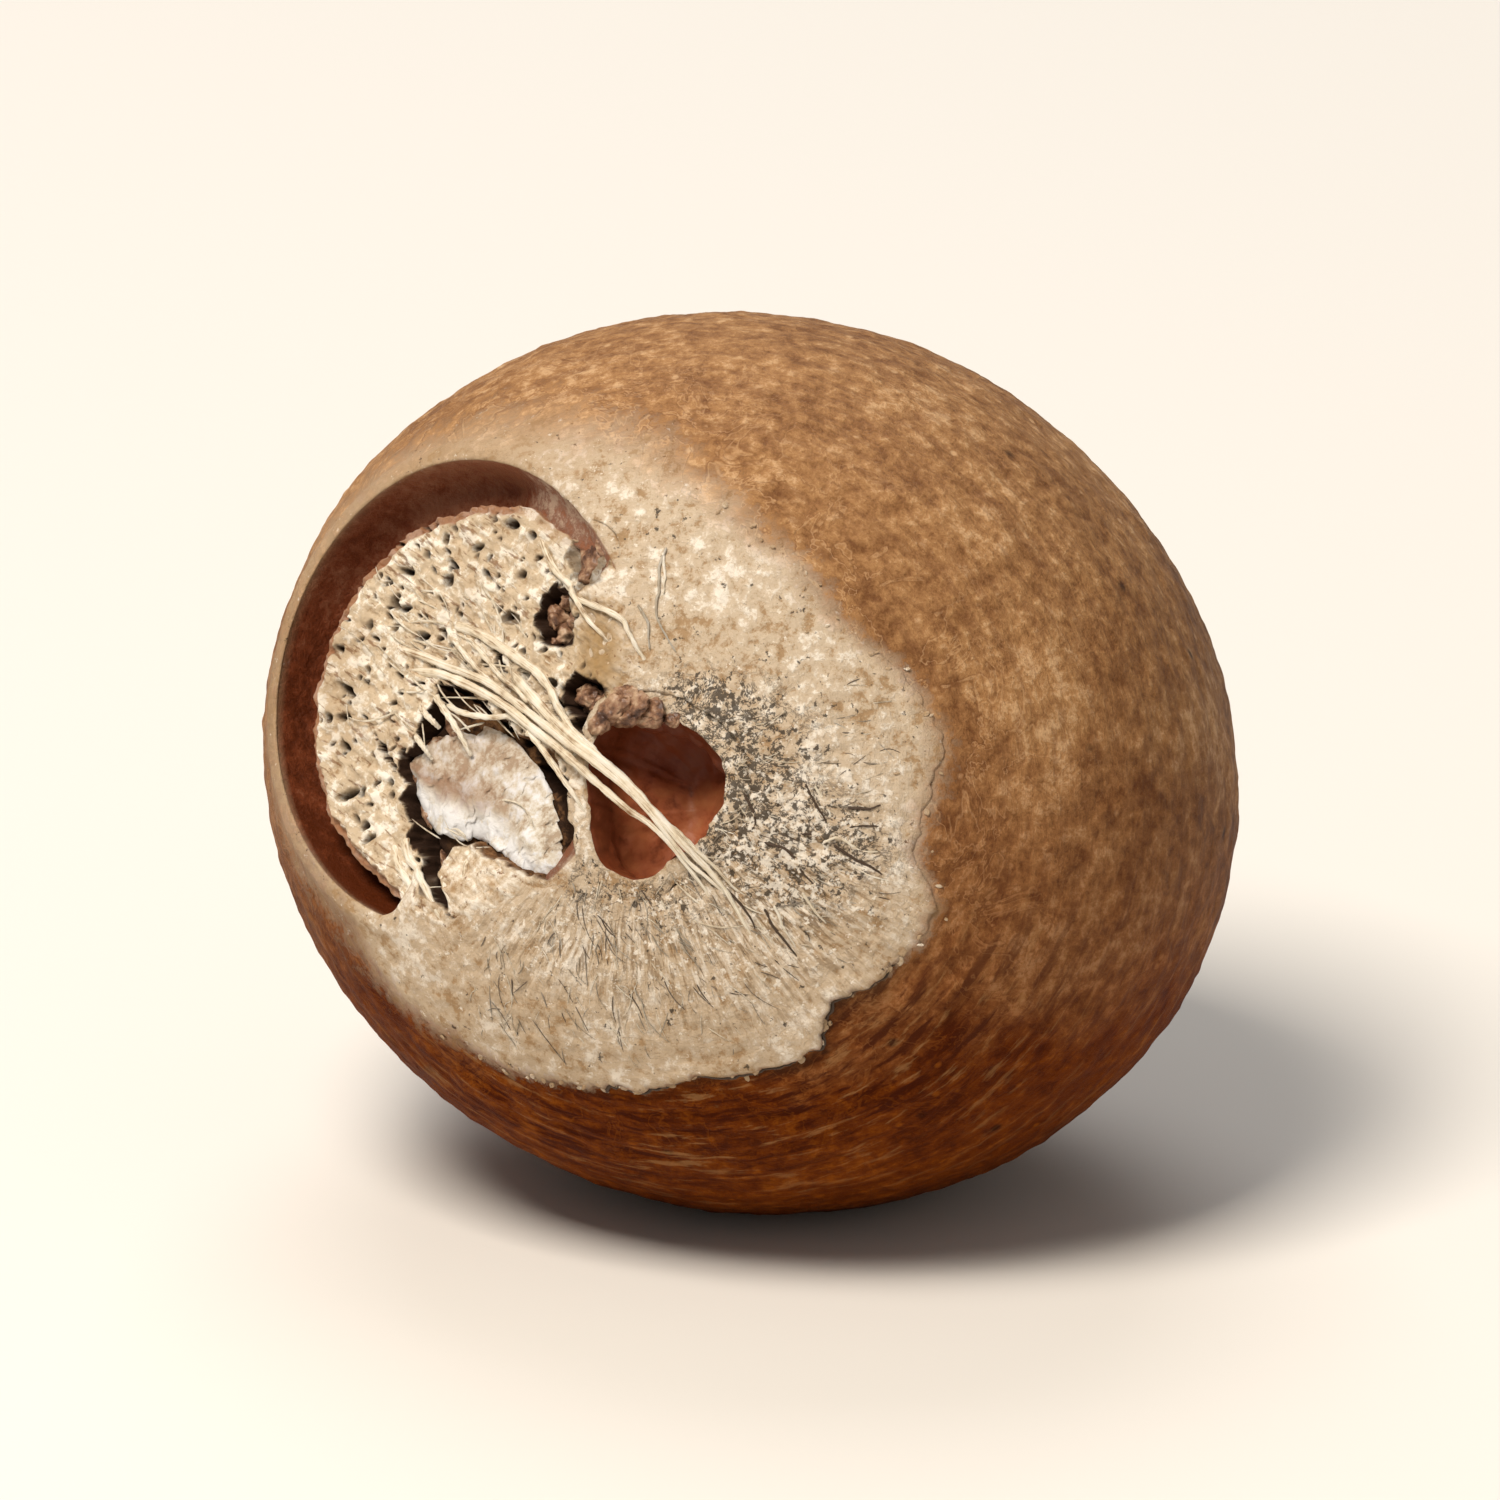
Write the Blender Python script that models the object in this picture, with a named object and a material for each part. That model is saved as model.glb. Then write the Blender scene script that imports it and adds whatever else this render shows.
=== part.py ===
"""A whole dried betel nut (areca nut), lying on its side with its base up and forward.

The kernel is an uneven, slightly flattened egg. Its base carries a round scar where the husk was
attached: a moat with a polished wall runs round a torn plug of husk pith, the embryo's cavity lies
beside it, and a few strands of husk fibre still bridge the cavity.
"""

import math

import bmesh
import bpy
import numpy as np
from mathutils import Matrix, Vector

MM = 0.001

# The kernel's body. Its own axes: x along the long width, y along the short one, z out of the base.
LONG_WIDTH = 28.1 * MM
SHORT_WIDTH = 25.6 * MM
BASE_HEIGHT = 11.6 * MM  # from the widest section to the base
TIP_HEIGHT = 13.0 * MM  # from the widest section to the tip
BASE_FULLNESS = 2.35  # 2 is an ellipsoid, more is squarer
TIP_FULLNESS = 1.88  # under 2 is more pointed
BEAK_HEIGHT = 0.35 * MM  # how far the blunt beak stands out of the tip
BEAK_WIDTH = 4.0 * MM
# Each lump: its share of the radius, its direction as waves a radius along x, y and z, its phase.
LUMPS = (
    (0.0070, (1.9, 0.4, 0.8), 0.6),
    (0.0060, (-0.6, 2.3, 1.1), 2.1),
    (0.0050, (2.6, -1.7, 0.9), 4.0),
    (0.0035, (1.2, 3.4, -2.2), 1.3),
)

# How it lies: the base looks forward (-Y), turned to the left and raised, and the nut is rolled.
BASE_TURN = math.radians(16.5)
BASE_RISE = math.radians(17.5)
ROLL = math.radians(-10.3)
REST_CUT = 0.45 * MM  # the depth of the flat spot that it rests on

# The scar: a round plane set into the base, beside the middle.
SCAR_CENTRE = np.array((-6.72, 0.44, 8.96)) * MM
SCAR_TILT = math.radians(27.0)  # from the base's axis
SCAR_AZIMUTH = math.radians(175.2)  # which way it tilts, about the base's axis
SCAR_ROLL = math.radians(17.5)  # turns the scar's own x and y axes about its normal
SCAR_RADIUS = 6.75 * MM
LIP_HEIGHT = 0.14 * MM
LIP_WIDTH = 0.55 * MM

# The moat between the scar's rim and the plug of pith: angle round the scar, width, depth.
MOAT = (
    (8, 0.0 * MM, 0.0 * MM),
    (30, 1.0 * MM, 0.12 * MM),
    (46, 1.25 * MM, 0.2 * MM),
    (60, 0.95 * MM, 0.3 * MM),
    (72, 1.1 * MM, 0.7 * MM),
    (80, 1.2 * MM, 1.25 * MM),
    (100, 1.45 * MM, 1.35 * MM),
    (135, 1.4 * MM, 1.35 * MM),
    (175, 1.15 * MM, 1.35 * MM),
    (215, 0.85 * MM, 1.3 * MM),
    (245, 0.7 * MM, 1.2 * MM),
    (262, 0.0 * MM, 0.8 * MM),
)
NARROW_MOAT = 0.5 * MM  # under this it begins to be filled
WALL_RUN = 0.2 * MM  # how far the moat's steep walls lean
FILLED_RUN = 2.4 * MM  # how far the plug takes to rise to the body where there is no moat
TORN_EDGE = 0.09 * MM  # how far the plug's torn edge wanders in and out
TORN_WAVES = (17, 29)

# The plug: a sheet of pith whose middle has sunk along cracks.
PLUG_DROP = 0.28 * MM  # below the scar's plane
FLAP_CENTRE = (1.1 * MM, -2.7 * MM)
FLAP_RADII = (3.1 * MM, 3.0 * MM)
FLAP_DROP = 0.4 * MM
FLAP_EDGE = 0.7  # where its slope begins, as a share of its radii
# Cracks in the pith. Each: half its width, its depth, then points (x, y) in millimetres.
CRACKS = (
    (0.24, 0.9, ((-2.1, -1.4), (-1.7, -2.7), (-1.2, -4.1), (-0.6, -5.2), (0.2, -6.2))),
    (0.19, 0.7, ((-1.5, -1.1), (-0.8, 0.1), (0.4, -0.1), (1.6, -0.9), (2.7, -1.7))),
    (0.24, 0.85, ((2.9, -2.0), (4.0, -2.9), (4.4, -4.3), (4.1, -5.4))),
)
# Pits where fibres came out. Each: where, radius and depth, in millimetres.
PITS = (
    ((3.65, 1.95), 0.85, 0.8),
    ((4.95, -0.45), 0.72, 0.75),
    ((4.9, 3.5), 0.8, 0.3),
    ((-0.6, 3.3), 0.22, 0.5),
    ((1.75, 4.75), 0.2, 0.5),
    ((1.65, 2.1), 0.2, 0.5),
    ((-4.3, 0.4), 0.22, 0.5),
    ((-4.1, -2.65), 0.24, 0.5),
    ((-2.6, 2.8), 0.2, 0.5),
)
SMALL_PIT = 0.4  # pits under this radius take fewer faces
SMALL_PIT_SEGMENTS = 8
PIT_SEGMENTS = 14

# The embryo's cavity, a deep round hole beside the plug, in millimetres.
CAVITY_CENTRE = (6.93, -3.28)
CAVITY_RADII = (1.88, 2.25)
CAVITY_DEPTH = 2.5
CAVITY_SEGMENTS = 28

# Husk fibres fused to the pith. Each: radius, then points (x, y, lift), all in millimetres, where
# the lift is over the plug or, beside it, over the body.
STRANDS = (
    (0.22, ((1.9, 0.6, -0.3), (2.9, -0.1, 0.3), (4.2, -1.2, 0.45), (5.8, -2.25, 0.5),
            (7.2, -3.75, 0.5), (8.15, -5.1, 0.35), (8.7, -6.35, 0.1), (8.9, -7.2, -0.35))),
    (0.19, ((-2.0, 0.8, -0.3), (-0.6, 0.6, 0.1), (1.0, 0.0, 0.25), (2.5, -0.75, 0.4),
            (3.95, -1.65, 0.45), (5.3, -2.55, 0.45), (6.6, -3.75, 0.45), (7.55, -4.75, 0.4),
            (8.05, -6.15, -0.3))),
    (0.17, ((-2.6, 1.55, -0.3), (-0.4, 0.8, 0.1), (1.4, 0.2, 0.3), (2.9, -0.65, 0.4),
            (4.5, -1.6, 0.5), (6.0, -2.6, 0.5), (7.35, -4.15, 0.5), (7.9, -5.2, 0.3),
            (8.65, -6.15, -0.3))),
    (0.17, ((-0.35, 2.0, -0.3), (1.25, 1.4, 0.1), (2.7, 0.65, 0.2), (4.15, -0.75, 0.3),
            (5.6, -2.1, 0.45))),
    (0.15, ((3.3, 3.5, -0.3), (4.6, 2.4, 0.15), (5.6, 2.05, 0.2), (6.5, 1.4, 0.2),
            (6.95, 0.4, -0.35))),
    (0.15, ((2.7, 4.5, -0.3), (3.6, 3.25, 0.1), (4.9, 2.15, 0.2), (5.8, 1.05, -0.35))),
)
STRAND_TAPER = (1.15, 0.65)  # its radius at the two ends, as shares
CRACK_TAPER = (0.5, 0.5)
SWEEP_SIDES = 6
SWEEP_STEPS = 3  # sections between two points of a strand or crack

# How finely the kernel is divided.
SECTORS = 108
CLOSE_TURN = math.radians(-15)  # the sectors are closest together on this side of the scar
CLOSENESS = 0.25  # 0 spaces them evenly
PLUG_RINGS = 8
MOAT_RINGS = 9
MARGIN_RINGS = 5
BODY_RINGS = 23
MARGIN_RADIUS = 10.2 * MM  # past this the rings go by angle and not by distance
# The body's surface is looked for between these: over the scar's plane, and from its axis's foot.
LEVEL_SEARCH = (-8 * MM, 6 * MM)
RADIUS_SEARCH = (4 * MM, 20 * MM)
HALVINGS = 44

# The dry seed coat: pale brown with a dull waxy shine.
COAT_COLOUR = (0.34, 0.19, 0.09, 1)
COAT_ROUGHNESS = 0.55
SHARP_ANGLE = math.radians(40)


def smooth(low, high, value):
    """0 under low, 1 over high, and an S-curve between."""
    share = np.clip((value - low) / (high - low), 0, 1)
    return share * share * (3 - 2 * share)


def unit(vectors):
    return vectors / np.linalg.norm(vectors, axis=-1, keepdims=True)


def body_radius(directions):
    """The body's radius along each unit direction from the nut's middle."""
    x, y, z = np.moveaxis(directions, -1, 0)
    across = np.hypot(x / (LONG_WIDTH / 2), y / (SHORT_WIDTH / 2))
    height = np.where(z > 0, BASE_HEIGHT, TIP_HEIGHT)
    fullness = np.where(z > 0, BASE_FULLNESS, TIP_FULLNESS)
    radius = (across**fullness + np.abs(z / height) ** fullness) ** (-1 / fullness)
    swell = sum(
        share * np.sin(directions @ np.array(waves) + phase) for share, waves, phase in LUMPS
    )
    off_tip = np.hypot(x, y) * TIP_HEIGHT / BEAK_WIDTH
    beak = np.where(z < 0, BEAK_HEIGHT * np.exp(-(off_tip**2)), 0)
    return radius * (1 + swell) + beak


def scar_axes():
    """The scar's x, y and normal directions in the nut's own axes."""
    flat = np.array((math.cos(SCAR_AZIMUTH), math.sin(SCAR_AZIMUTH), 0))
    normal = math.sin(SCAR_TILT) * flat + np.array((0, 0, math.cos(SCAR_TILT)))
    along = unit(np.array((1, 0, 0)) - normal * normal[0])
    across = np.cross(normal, along)
    x_axis = math.cos(SCAR_ROLL) * along + math.sin(SCAR_ROLL) * across
    return x_axis, np.cross(normal, x_axis), normal


X_AXIS, Y_AXIS, NORMAL = scar_axes()
# The point on the scar's axis nearest to the nut's middle, from which the far side is measured.
AXIS_FOOT = SCAR_CENTRE - NORMAL * (SCAR_CENTRE @ NORMAL)


def reach_body(starts, directions, search):
    """How far from each start, along each direction, the body's surface is, by halving."""
    low = np.full(len(starts), search[0])
    high = np.full(len(starts), search[1])
    for _ in range(HALVINGS):
        middle = (low + high) / 2
        points = starts + directions * middle[:, None]
        length = np.linalg.norm(points, axis=1)
        inside = length < body_radius(points / length[:, None])
        low = np.where(inside, middle, low)
        high = np.where(inside, high, middle)
    return (low + high) / 2


def on_scar(x, y, level):
    """The points at these places in the scar's plane, raised by the level."""
    return SCAR_CENTRE + x[..., None] * X_AXIS + y[..., None] * Y_AXIS + level[..., None] * NORMAL


def body_level(x, y):
    """The body's height over the scar's plane at each place in the plane."""
    starts = on_scar(x, y, np.zeros(x.shape)).reshape(-1, 3)
    directions = np.broadcast_to(NORMAL, starts.shape)
    return reach_body(starts, directions, LEVEL_SEARCH).reshape(x.shape)


def moat_at(turn):
    """The moat's width, depth and openness at each angle round the scar, in radians."""
    angles, widths, depths = np.array(MOAT).T
    degrees = np.degrees(turn) % 360
    width = np.interp(degrees, angles, widths)
    openness = smooth(0, NARROW_MOAT, width)
    torn = np.sin(TORN_WAVES[0] * turn) + np.sin(TORN_WAVES[1] * turn + 1)
    return width + TORN_EDGE * torn * openness, np.interp(degrees, angles, depths), openness


def bed_level(x, y):
    """The height over the scar's plane of the plug and, round it, of the body."""
    openness = moat_at(np.arctan2(y, x))[2]
    fade = WALL_RUN + (1 - openness) * FILLED_RUN
    set_in = 1 - smooth(SCAR_RADIUS - fade, SCAR_RADIUS, np.hypot(x, y))
    off_flap = np.hypot(
        (x - FLAP_CENTRE[0]) / FLAP_RADII[0],
        (y - FLAP_CENTRE[1]) / FLAP_RADII[1],
    )
    flap = 1 - smooth(FLAP_EDGE, 1, off_flap)
    return body_level(x, y) * (1 - set_in) - (PLUG_DROP + FLAP_DROP * flap) * set_in


def scar_level(x, y):
    """The surface's height over the scar's plane: the bed, less the moat, with the rim's lip."""
    out = np.hypot(x, y)
    width, depth, openness = moat_at(np.arctan2(y, x))
    past_plug = smooth(SCAR_RADIUS - width - WALL_RUN, SCAR_RADIUS - width, out)
    in_rim = 1 - smooth(SCAR_RADIUS - WALL_RUN, SCAR_RADIUS, out)
    off_lip = (out - SCAR_RADIUS - LIP_WIDTH / 2) / (LIP_WIDTH / 2)
    lip = LIP_HEIGHT * np.exp(-(off_lip**2))
    return bed_level(x, y) + openness * (lip - depth * past_plug * in_rim)


def ring_distances(turn):
    """The distance of each inner ring from the scar's axis, for each angle round it."""
    width, _, openness = moat_at(turn)
    inner = SCAR_RADIUS - WALL_RUN - width * openness - FILLED_RUN * (1 - openness)
    plug = (np.arange(PLUG_RINGS) + 1)[:, None] / PLUG_RINGS * inner
    # The moat's rings are close together at its two walls.
    steps = (1 - np.cos(math.pi * (np.arange(MOAT_RINGS) + 1) / MOAT_RINGS)) / 2
    moat = inner + steps[:, None] * (SCAR_RADIUS - inner)
    steps = (np.arange(MARGIN_RINGS) + 1)[:, None] / MARGIN_RINGS
    margin = SCAR_RADIUS + steps * (MARGIN_RADIUS - SCAR_RADIUS) + 0 * turn
    return np.concatenate((plug, moat, margin))


def kernel_points():
    """The kernel's points: its pole at the scar, rings round the scar's axis, and its far pole."""
    even = np.arange(SECTORS) * math.tau / SECTORS
    turn = even - CLOSENESS * np.sin(even - CLOSE_TURN)
    distance = ring_distances(turn)
    x, y = distance * np.cos(turn), distance * np.sin(turn)
    scar_rings = on_scar(x, y, scar_level(x, y))

    start = np.arccos(unit(scar_rings[-1] - AXIS_FOOT) @ NORMAL)
    share = (np.arange(BODY_RINGS) + 1) / (BODY_RINGS + 1)
    angle = (start + (math.pi - start) * share[:, None])[..., None]
    sideways = np.cos(turn)[:, None] * X_AXIS + np.sin(turn)[:, None] * Y_AXIS
    directions = (np.cos(angle) * NORMAL + np.sin(angle) * sideways).reshape(-1, 3)
    starts = np.broadcast_to(AXIS_FOOT, directions.shape)
    reach = reach_body(starts, directions, RADIUS_SEARCH)
    body_rings = (starts + directions * reach[:, None]).reshape(BODY_RINGS, SECTORS, 3)

    middle = np.zeros(1)
    near_pole = on_scar(middle, middle, scar_level(middle, middle))[0]
    far_reach = reach_body(AXIS_FOOT[None], -NORMAL[None], RADIUS_SEARCH)
    return near_pole, np.concatenate((scar_rings, body_rings)), AXIS_FOOT - NORMAL * far_reach


def build_kernel():
    """A closed mesh of quads between the rings, with a fan of triangles at each pole."""
    near_pole, rings, far_pole = kernel_points()
    mesh = bmesh.new()
    rows = [[mesh.verts.new(point) for point in ring] for ring in rings]
    first, last = mesh.verts.new(near_pole), mesh.verts.new(far_pole)
    for here in range(SECTORS):
        after = (here + 1) % SECTORS
        mesh.faces.new((first, rows[0][here], rows[0][after]))
        mesh.faces.new((last, rows[-1][after], rows[-1][here]))
        for near, far in zip(rows[:-1], rows[1:]):
            mesh.faces.new((near[here], far[here], far[after], near[after]))
    return add_object("nut", mesh)


def curve_through(points):
    """Points on a smooth (Catmull-Rom) curve through the given ones."""
    ends = [2 * points[0] - points[1], *points, 2 * points[-1] - points[-2]]
    curve = []
    for before, start, end, after in zip(ends, ends[1:], ends[2:], ends[3:]):
        for step in range(SWEEP_STEPS):
            t = step / SWEEP_STEPS
            bend = 2 * before - 5 * start + 4 * end - after
            twist = 3 * start - before - 3 * end + after
            curve.append(start + (end - before) * t / 2 + bend * t**2 / 2 + twist * t**3 / 2)
    return curve + [points[-1]]


def build_sweep(name, x, y, lift, wide, deep, taper):
    """A tapered tube along a smooth path, at a height over the scar's bed."""
    points = on_scar(x, y, bed_level(x, y) + lift)
    curve = curve_through([Vector(point) for point in points])
    mesh = bmesh.new()
    sections = []
    for index, point in enumerate(curve):
        ahead = (curve[min(index + 1, len(curve) - 1)] - curve[max(index - 1, 0)]).normalized()
        side = ahead.cross(Vector(NORMAL)).normalized()
        rise = side.cross(ahead)
        share = index / (len(curve) - 1)
        scale = taper[0] * (1 - share) + taper[1] * share
        if taper[0] == taper[1]:
            scale = taper[0] + (1 - taper[0]) * math.sin(math.pi * share)
        corners = [math.tau * corner / SWEEP_SIDES for corner in range(SWEEP_SIDES)]
        sections.append(
            [
                mesh.verts.new(point + scale * (wide * math.cos(a) * side + deep * math.sin(a) * rise))
                for a in corners
            ]
        )
    for near, far in zip(sections[:-1], sections[1:]):
        for corner in range(SWEEP_SIDES):
            after = (corner + 1) % SWEEP_SIDES
            mesh.faces.new((near[corner], near[after], far[after], far[corner]))
    mesh.faces.new(sections[0][::-1])
    mesh.faces.new(sections[-1])
    bmesh.ops.recalc_face_normals(mesh, faces=mesh.faces)
    return add_object(name, mesh)


def build_hollow(name, x, y, radii, depth, segments):
    """A squashed ball that dips into the surface to this depth."""
    x, y = np.array([x]) * MM, np.array([y]) * MM
    centre = on_scar(x, y, bed_level(x, y))[0]
    axes = Matrix((X_AXIS, Y_AXIS, NORMAL)).transposed().to_4x4()
    size = Matrix.Diagonal((radii[0] * MM, radii[1] * MM, depth * MM, 1))
    mesh = bmesh.new()
    bmesh.ops.create_uvsphere(mesh, u_segments=segments, v_segments=segments // 2, radius=1)
    mesh.transform(Matrix.Translation(centre) @ axes @ size)
    return add_object(name, mesh)


def add_object(name, mesh):
    data = bpy.data.meshes.new(name)
    mesh.to_mesh(data)
    mesh.free()
    placed = bpy.data.objects.new(name, data)
    bpy.context.scene.collection.objects.link(placed)
    return placed


def combine(base, operation, others):
    """Applies one Boolean with all the other objects to the base, and removes them."""
    group = bpy.data.collections.new(operation.lower())
    for other in others:
        group.objects.link(other)
    boolean = base.modifiers.new(operation.lower(), "BOOLEAN")
    boolean.operation = operation
    boolean.operand_type = "COLLECTION"
    boolean.collection = group
    boolean.solver = "MANIFOLD"  # the strands cross, where EXACT leaves holes
    graph = bpy.context.evaluated_depsgraph_get()
    combined = bpy.data.meshes.new_from_object(base.evaluated_get(graph))
    base.modifiers.clear()
    base.data = combined
    for other in others:
        bpy.data.objects.remove(other)
    bpy.data.collections.remove(group)


def build_hollows():
    """The cavity, the pits and the cracks, as solids to cut away."""
    hollows = [
        build_hollow("cavity", *CAVITY_CENTRE, CAVITY_RADII, CAVITY_DEPTH, CAVITY_SEGMENTS)
    ]
    for number, ((x, y), radius, depth) in enumerate(PITS, 1):
        segments = SMALL_PIT_SEGMENTS if radius < SMALL_PIT else PIT_SEGMENTS
        hollows.append(build_hollow(f"pit_{number}", x, y, (radius, radius), depth, segments))
    for number, (wide, deep, path) in enumerate(CRACKS, 1):
        x, y = np.array(path).T * MM
        hollows.append(build_sweep(f"crack_{number}", x, y, 0, wide * MM, deep * MM, CRACK_TAPER))
    return hollows


def build_strands():
    strands = []
    for number, (radius, path) in enumerate(STRANDS, 1):
        x, y, lift = np.array(path).T * MM
        name = f"strand_{number}"
        strands.append(build_sweep(name, x, y, lift, radius * MM, radius * MM, STRAND_TAPER))
    return strands


def lay_down(nut):
    """Turns the nut to how it lies, cuts the flat spot and puts the middle of its foot on z = 0."""
    mesh = bmesh.new()
    mesh.from_mesh(nut.data)
    turned = Matrix.Rotation(-BASE_TURN, 4, "Z") @ Matrix.Rotation(math.pi / 2 - BASE_RISE, 4, "X")
    mesh.transform(turned @ Matrix.Rotation(ROLL, 4, "Z"))
    lowest = min(vertex.co.z for vertex in mesh.verts)
    cut = bmesh.ops.bisect_plane(
        mesh,
        geom=[*mesh.verts, *mesh.edges, *mesh.faces],
        plane_co=(0, 0, lowest + REST_CUT),
        plane_no=(0, 0, 1),
        clear_inner=True,
    )
    rim = [item for item in cut["geom_cut"] if isinstance(item, bmesh.types.BMEdge)]
    bmesh.ops.contextual_create(mesh, geom=rim)
    low = [min(vertex.co[axis] for vertex in mesh.verts) for axis in range(3)]
    high = [max(vertex.co[axis] for vertex in mesh.verts) for axis in range(3)]
    shift = Vector((-(low[0] + high[0]) / 2, -(low[1] + high[1]) / 2, -low[2]))
    bmesh.ops.translate(mesh, verts=mesh.verts, vec=shift)
    mesh.to_mesh(nut.data)
    mesh.free()


def seed_coat():
    coat = bpy.data.materials.new("seed_coat")
    coat.use_nodes = True
    shader = coat.node_tree.nodes["Principled BSDF"]
    shader.inputs["Base Color"].default_value = COAT_COLOUR
    shader.inputs["Roughness"].default_value = COAT_ROUGHNESS
    shader.inputs["Metallic"].default_value = 0.0
    return coat


def main():
    for old in list(bpy.data.objects):
        bpy.data.objects.remove(old)
    nut = build_kernel()
    combine(nut, "DIFFERENCE", build_hollows())
    combine(nut, "UNION", build_strands())
    lay_down(nut)
    nut.data.materials.clear()
    nut.data.materials.append(seed_coat())
    nut.data.shade_smooth()
    nut.data.set_sharp_from_angle(angle=SHARP_ANGLE)


main()
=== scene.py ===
import math
from functools import partial

import bpy
import numpy as np
from mathutils import Matrix, Vector


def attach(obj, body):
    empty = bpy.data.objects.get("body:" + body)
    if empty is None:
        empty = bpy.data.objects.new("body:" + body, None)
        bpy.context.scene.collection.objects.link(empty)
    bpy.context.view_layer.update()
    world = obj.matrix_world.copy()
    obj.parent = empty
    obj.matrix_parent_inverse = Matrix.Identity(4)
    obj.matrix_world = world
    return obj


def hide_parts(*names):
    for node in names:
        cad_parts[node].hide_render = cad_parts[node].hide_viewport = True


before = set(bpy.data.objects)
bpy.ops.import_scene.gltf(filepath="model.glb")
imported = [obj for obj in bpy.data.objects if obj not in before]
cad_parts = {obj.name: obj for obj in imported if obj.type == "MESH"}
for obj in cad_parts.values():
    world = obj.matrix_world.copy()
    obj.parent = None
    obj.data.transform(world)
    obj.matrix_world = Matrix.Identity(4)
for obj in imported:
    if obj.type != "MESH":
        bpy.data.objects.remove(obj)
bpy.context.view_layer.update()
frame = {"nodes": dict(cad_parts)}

print("frame loaded:", ", ".join(frame["nodes"]))

# Shapes are worked out in millimetres, in the nut's own axes: x along its long width, y along the
# short one, z out of the base. placeInFrame() turns the nut to how it lies, in metres.

nutBody = {
    "longWidth": 28.1,
    "shortWidth": 25.6,
    "baseHeight": 11.6,
    "tipHeight": 13.0,
    "baseFullness": 2.35,  # 2 is an ellipsoid, more is squarer
    "tipFullness": 1.88,
    "beakHeight": 0.35,
    "beakWidth": 4.0,
    # share of the radius, waves a radius along x, y and z, phase
    "lumps": (
        (0.007, (1.9, 0.4, 0.8), 0.6), (0.006, (-0.6, 2.3, 1.1), 2.1),
        (0.005, (2.6, -1.7, 0.9), 4), (0.0035, (1.2, 3.4, -2.2), 1.3),
    ),
    "baseTurn": 16.5,  # degrees to the left
    "baseRise": 17.5,
    "roll": -10.3,
    "middle": (0.0743, -0.2382, 12.2199),  # where the nut's middle is over its foot
    "poleArm": 12.6,  # millimetres of surface for each radian from the base's pole
}

scar = {
    "centre": (-6.72, 0.44, 8.96),
    "tilt": 27.0,
    "azimuth": 175.2,
    "roll": 17.5,
    "radius": 6.75,
    "lipHeight": 0.12,
    "lipWidth": 0.5,
    "plugDrop": 0.28,  # the plug's top under the scar's plane
    "wallRun": 0.2,
    "filledRun": 2.4,
    "arm": 13.2,  # millimetres of surface for each radian from the scar's axis
    "reach": 12,  # places further from the axis don't lie under the scar
    "cavityCut": 3.6,  # how deep the pieces are cut away where the cavity opens
    # angle round the scar, the moat's width, its depth
    "moat": (
        (30, 0, 0), (44, 0.8, 0.1), (52, 0.95, 0.16), (62, 0.95, 0.3), (72, 1.1, 0.7),
        (80, 1.2, 1.25), (100, 1.45, 1.35), (135, 1.4, 1.35), (175, 1.15, 1.35), (215, 0.85, 1.3),
        (245, 0.7, 1.2), (262, 0, 0.8),
    ),
}


def smooth(low, high, value):
    # 0 under low, 1 over high, and the S-curve 3t^2 - 2t^3 between them
    share = np.clip((value - low) / (high - low), 0, 1)
    return share * share * (3 - 2 * share)


def unit(vectors):
    return vectors / np.linalg.norm(vectors, axis=-1, keepdims=True)


def stacked(x, y, z=0):
    # coordinates, each an array or one number, as points
    return np.stack(np.broadcast_arrays(x, y, z), axis=-1)


def spun(distance, turn):
    # the x and y at this distance from an axis and this turn round it
    return distance * np.cos(turn), distance * np.sin(turn)


def circleAt(turn, radius=1):
    return stacked(*spun(radius, turn))


def turned(x, y, lean):
    # x and y measured in axes that are turned by the lean
    return x * math.cos(lean) + y * math.sin(lean), y * math.cos(lean) - x * math.sin(lean)


def evenTurns(count):
    return np.arange(count) * math.tau / count


def shares(count):
    # even steps above 0 and up to 1, one for each ring
    return np.linspace(0, 1, count + 1)[1:, None]


def overAndUnder(columns):
    # shares across a thin sheet, 0 to 1 over its top and back to 0 underneath, and which of them
    # are on top
    half = columns // 2
    share = np.linspace(0, 1, half)
    return np.concatenate((share, share[::-1])), np.arange(columns) < half


latticeSlopes = unit(np.array([
    (1, 1, 0), (-1, 1, 0), (1, -1, 0), (-1, -1, 0), (1, 0, 1), (-1, 0, 1),
    (1, 0, -1), (-1, 0, -1), (0, 1, 1), (0, -1, 1), (0, 1, -1), (0, -1, -1),
], float))


def noise(points, size=1.0, seed=0):
    # Perlin noise, about -1 to 1: every corner of a lattice of this size has a slope picked by a
    # hash of its place, and the eight round a point blend along 6t^5 - 15t^4 + 10t^3
    places = np.asarray(points, float) / size
    cell = np.floor(places).astype(np.int64)
    offset = places - cell
    fade = offset**3 * (offset * (offset * 6 - 15) + 10)
    total = np.zeros(places.shape[:-1])
    for corner in np.ndindex(2, 2, 2):
        mixed = (cell + corner) @ np.array((73856093, 19349663, 83492791)) + seed * 7919
        mixed = (mixed ^ (mixed >> 13)) * 1274126177
        mixed = (mixed ^ (mixed >> 16)) & 0x7FFFFFFF
        weight = np.prod(np.where(corner, fade, 1 - fade), axis=-1)
        total += weight * np.sum(latticeSlopes[mixed % 12] * (offset - corner), axis=-1)
    return total * 1.6


def layered(points, layers):
    # the sum of noises, each with its height, size and seed
    return sum(height * noise(points, size, seed) for height, size, seed in layers)


def tableAt(table, turn, column=1, blur=5):
    # straight lines between the table's angles, averaged over the blur so that no corner shows
    rows, degrees = np.array(table, float), np.degrees(turn)
    spread = np.linspace(-blur, blur, 7)
    return sum(
        np.interp(degrees + offset, rows[:, 0], rows[:, column], period=360) for offset in spread
    ) / len(spread)


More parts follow.
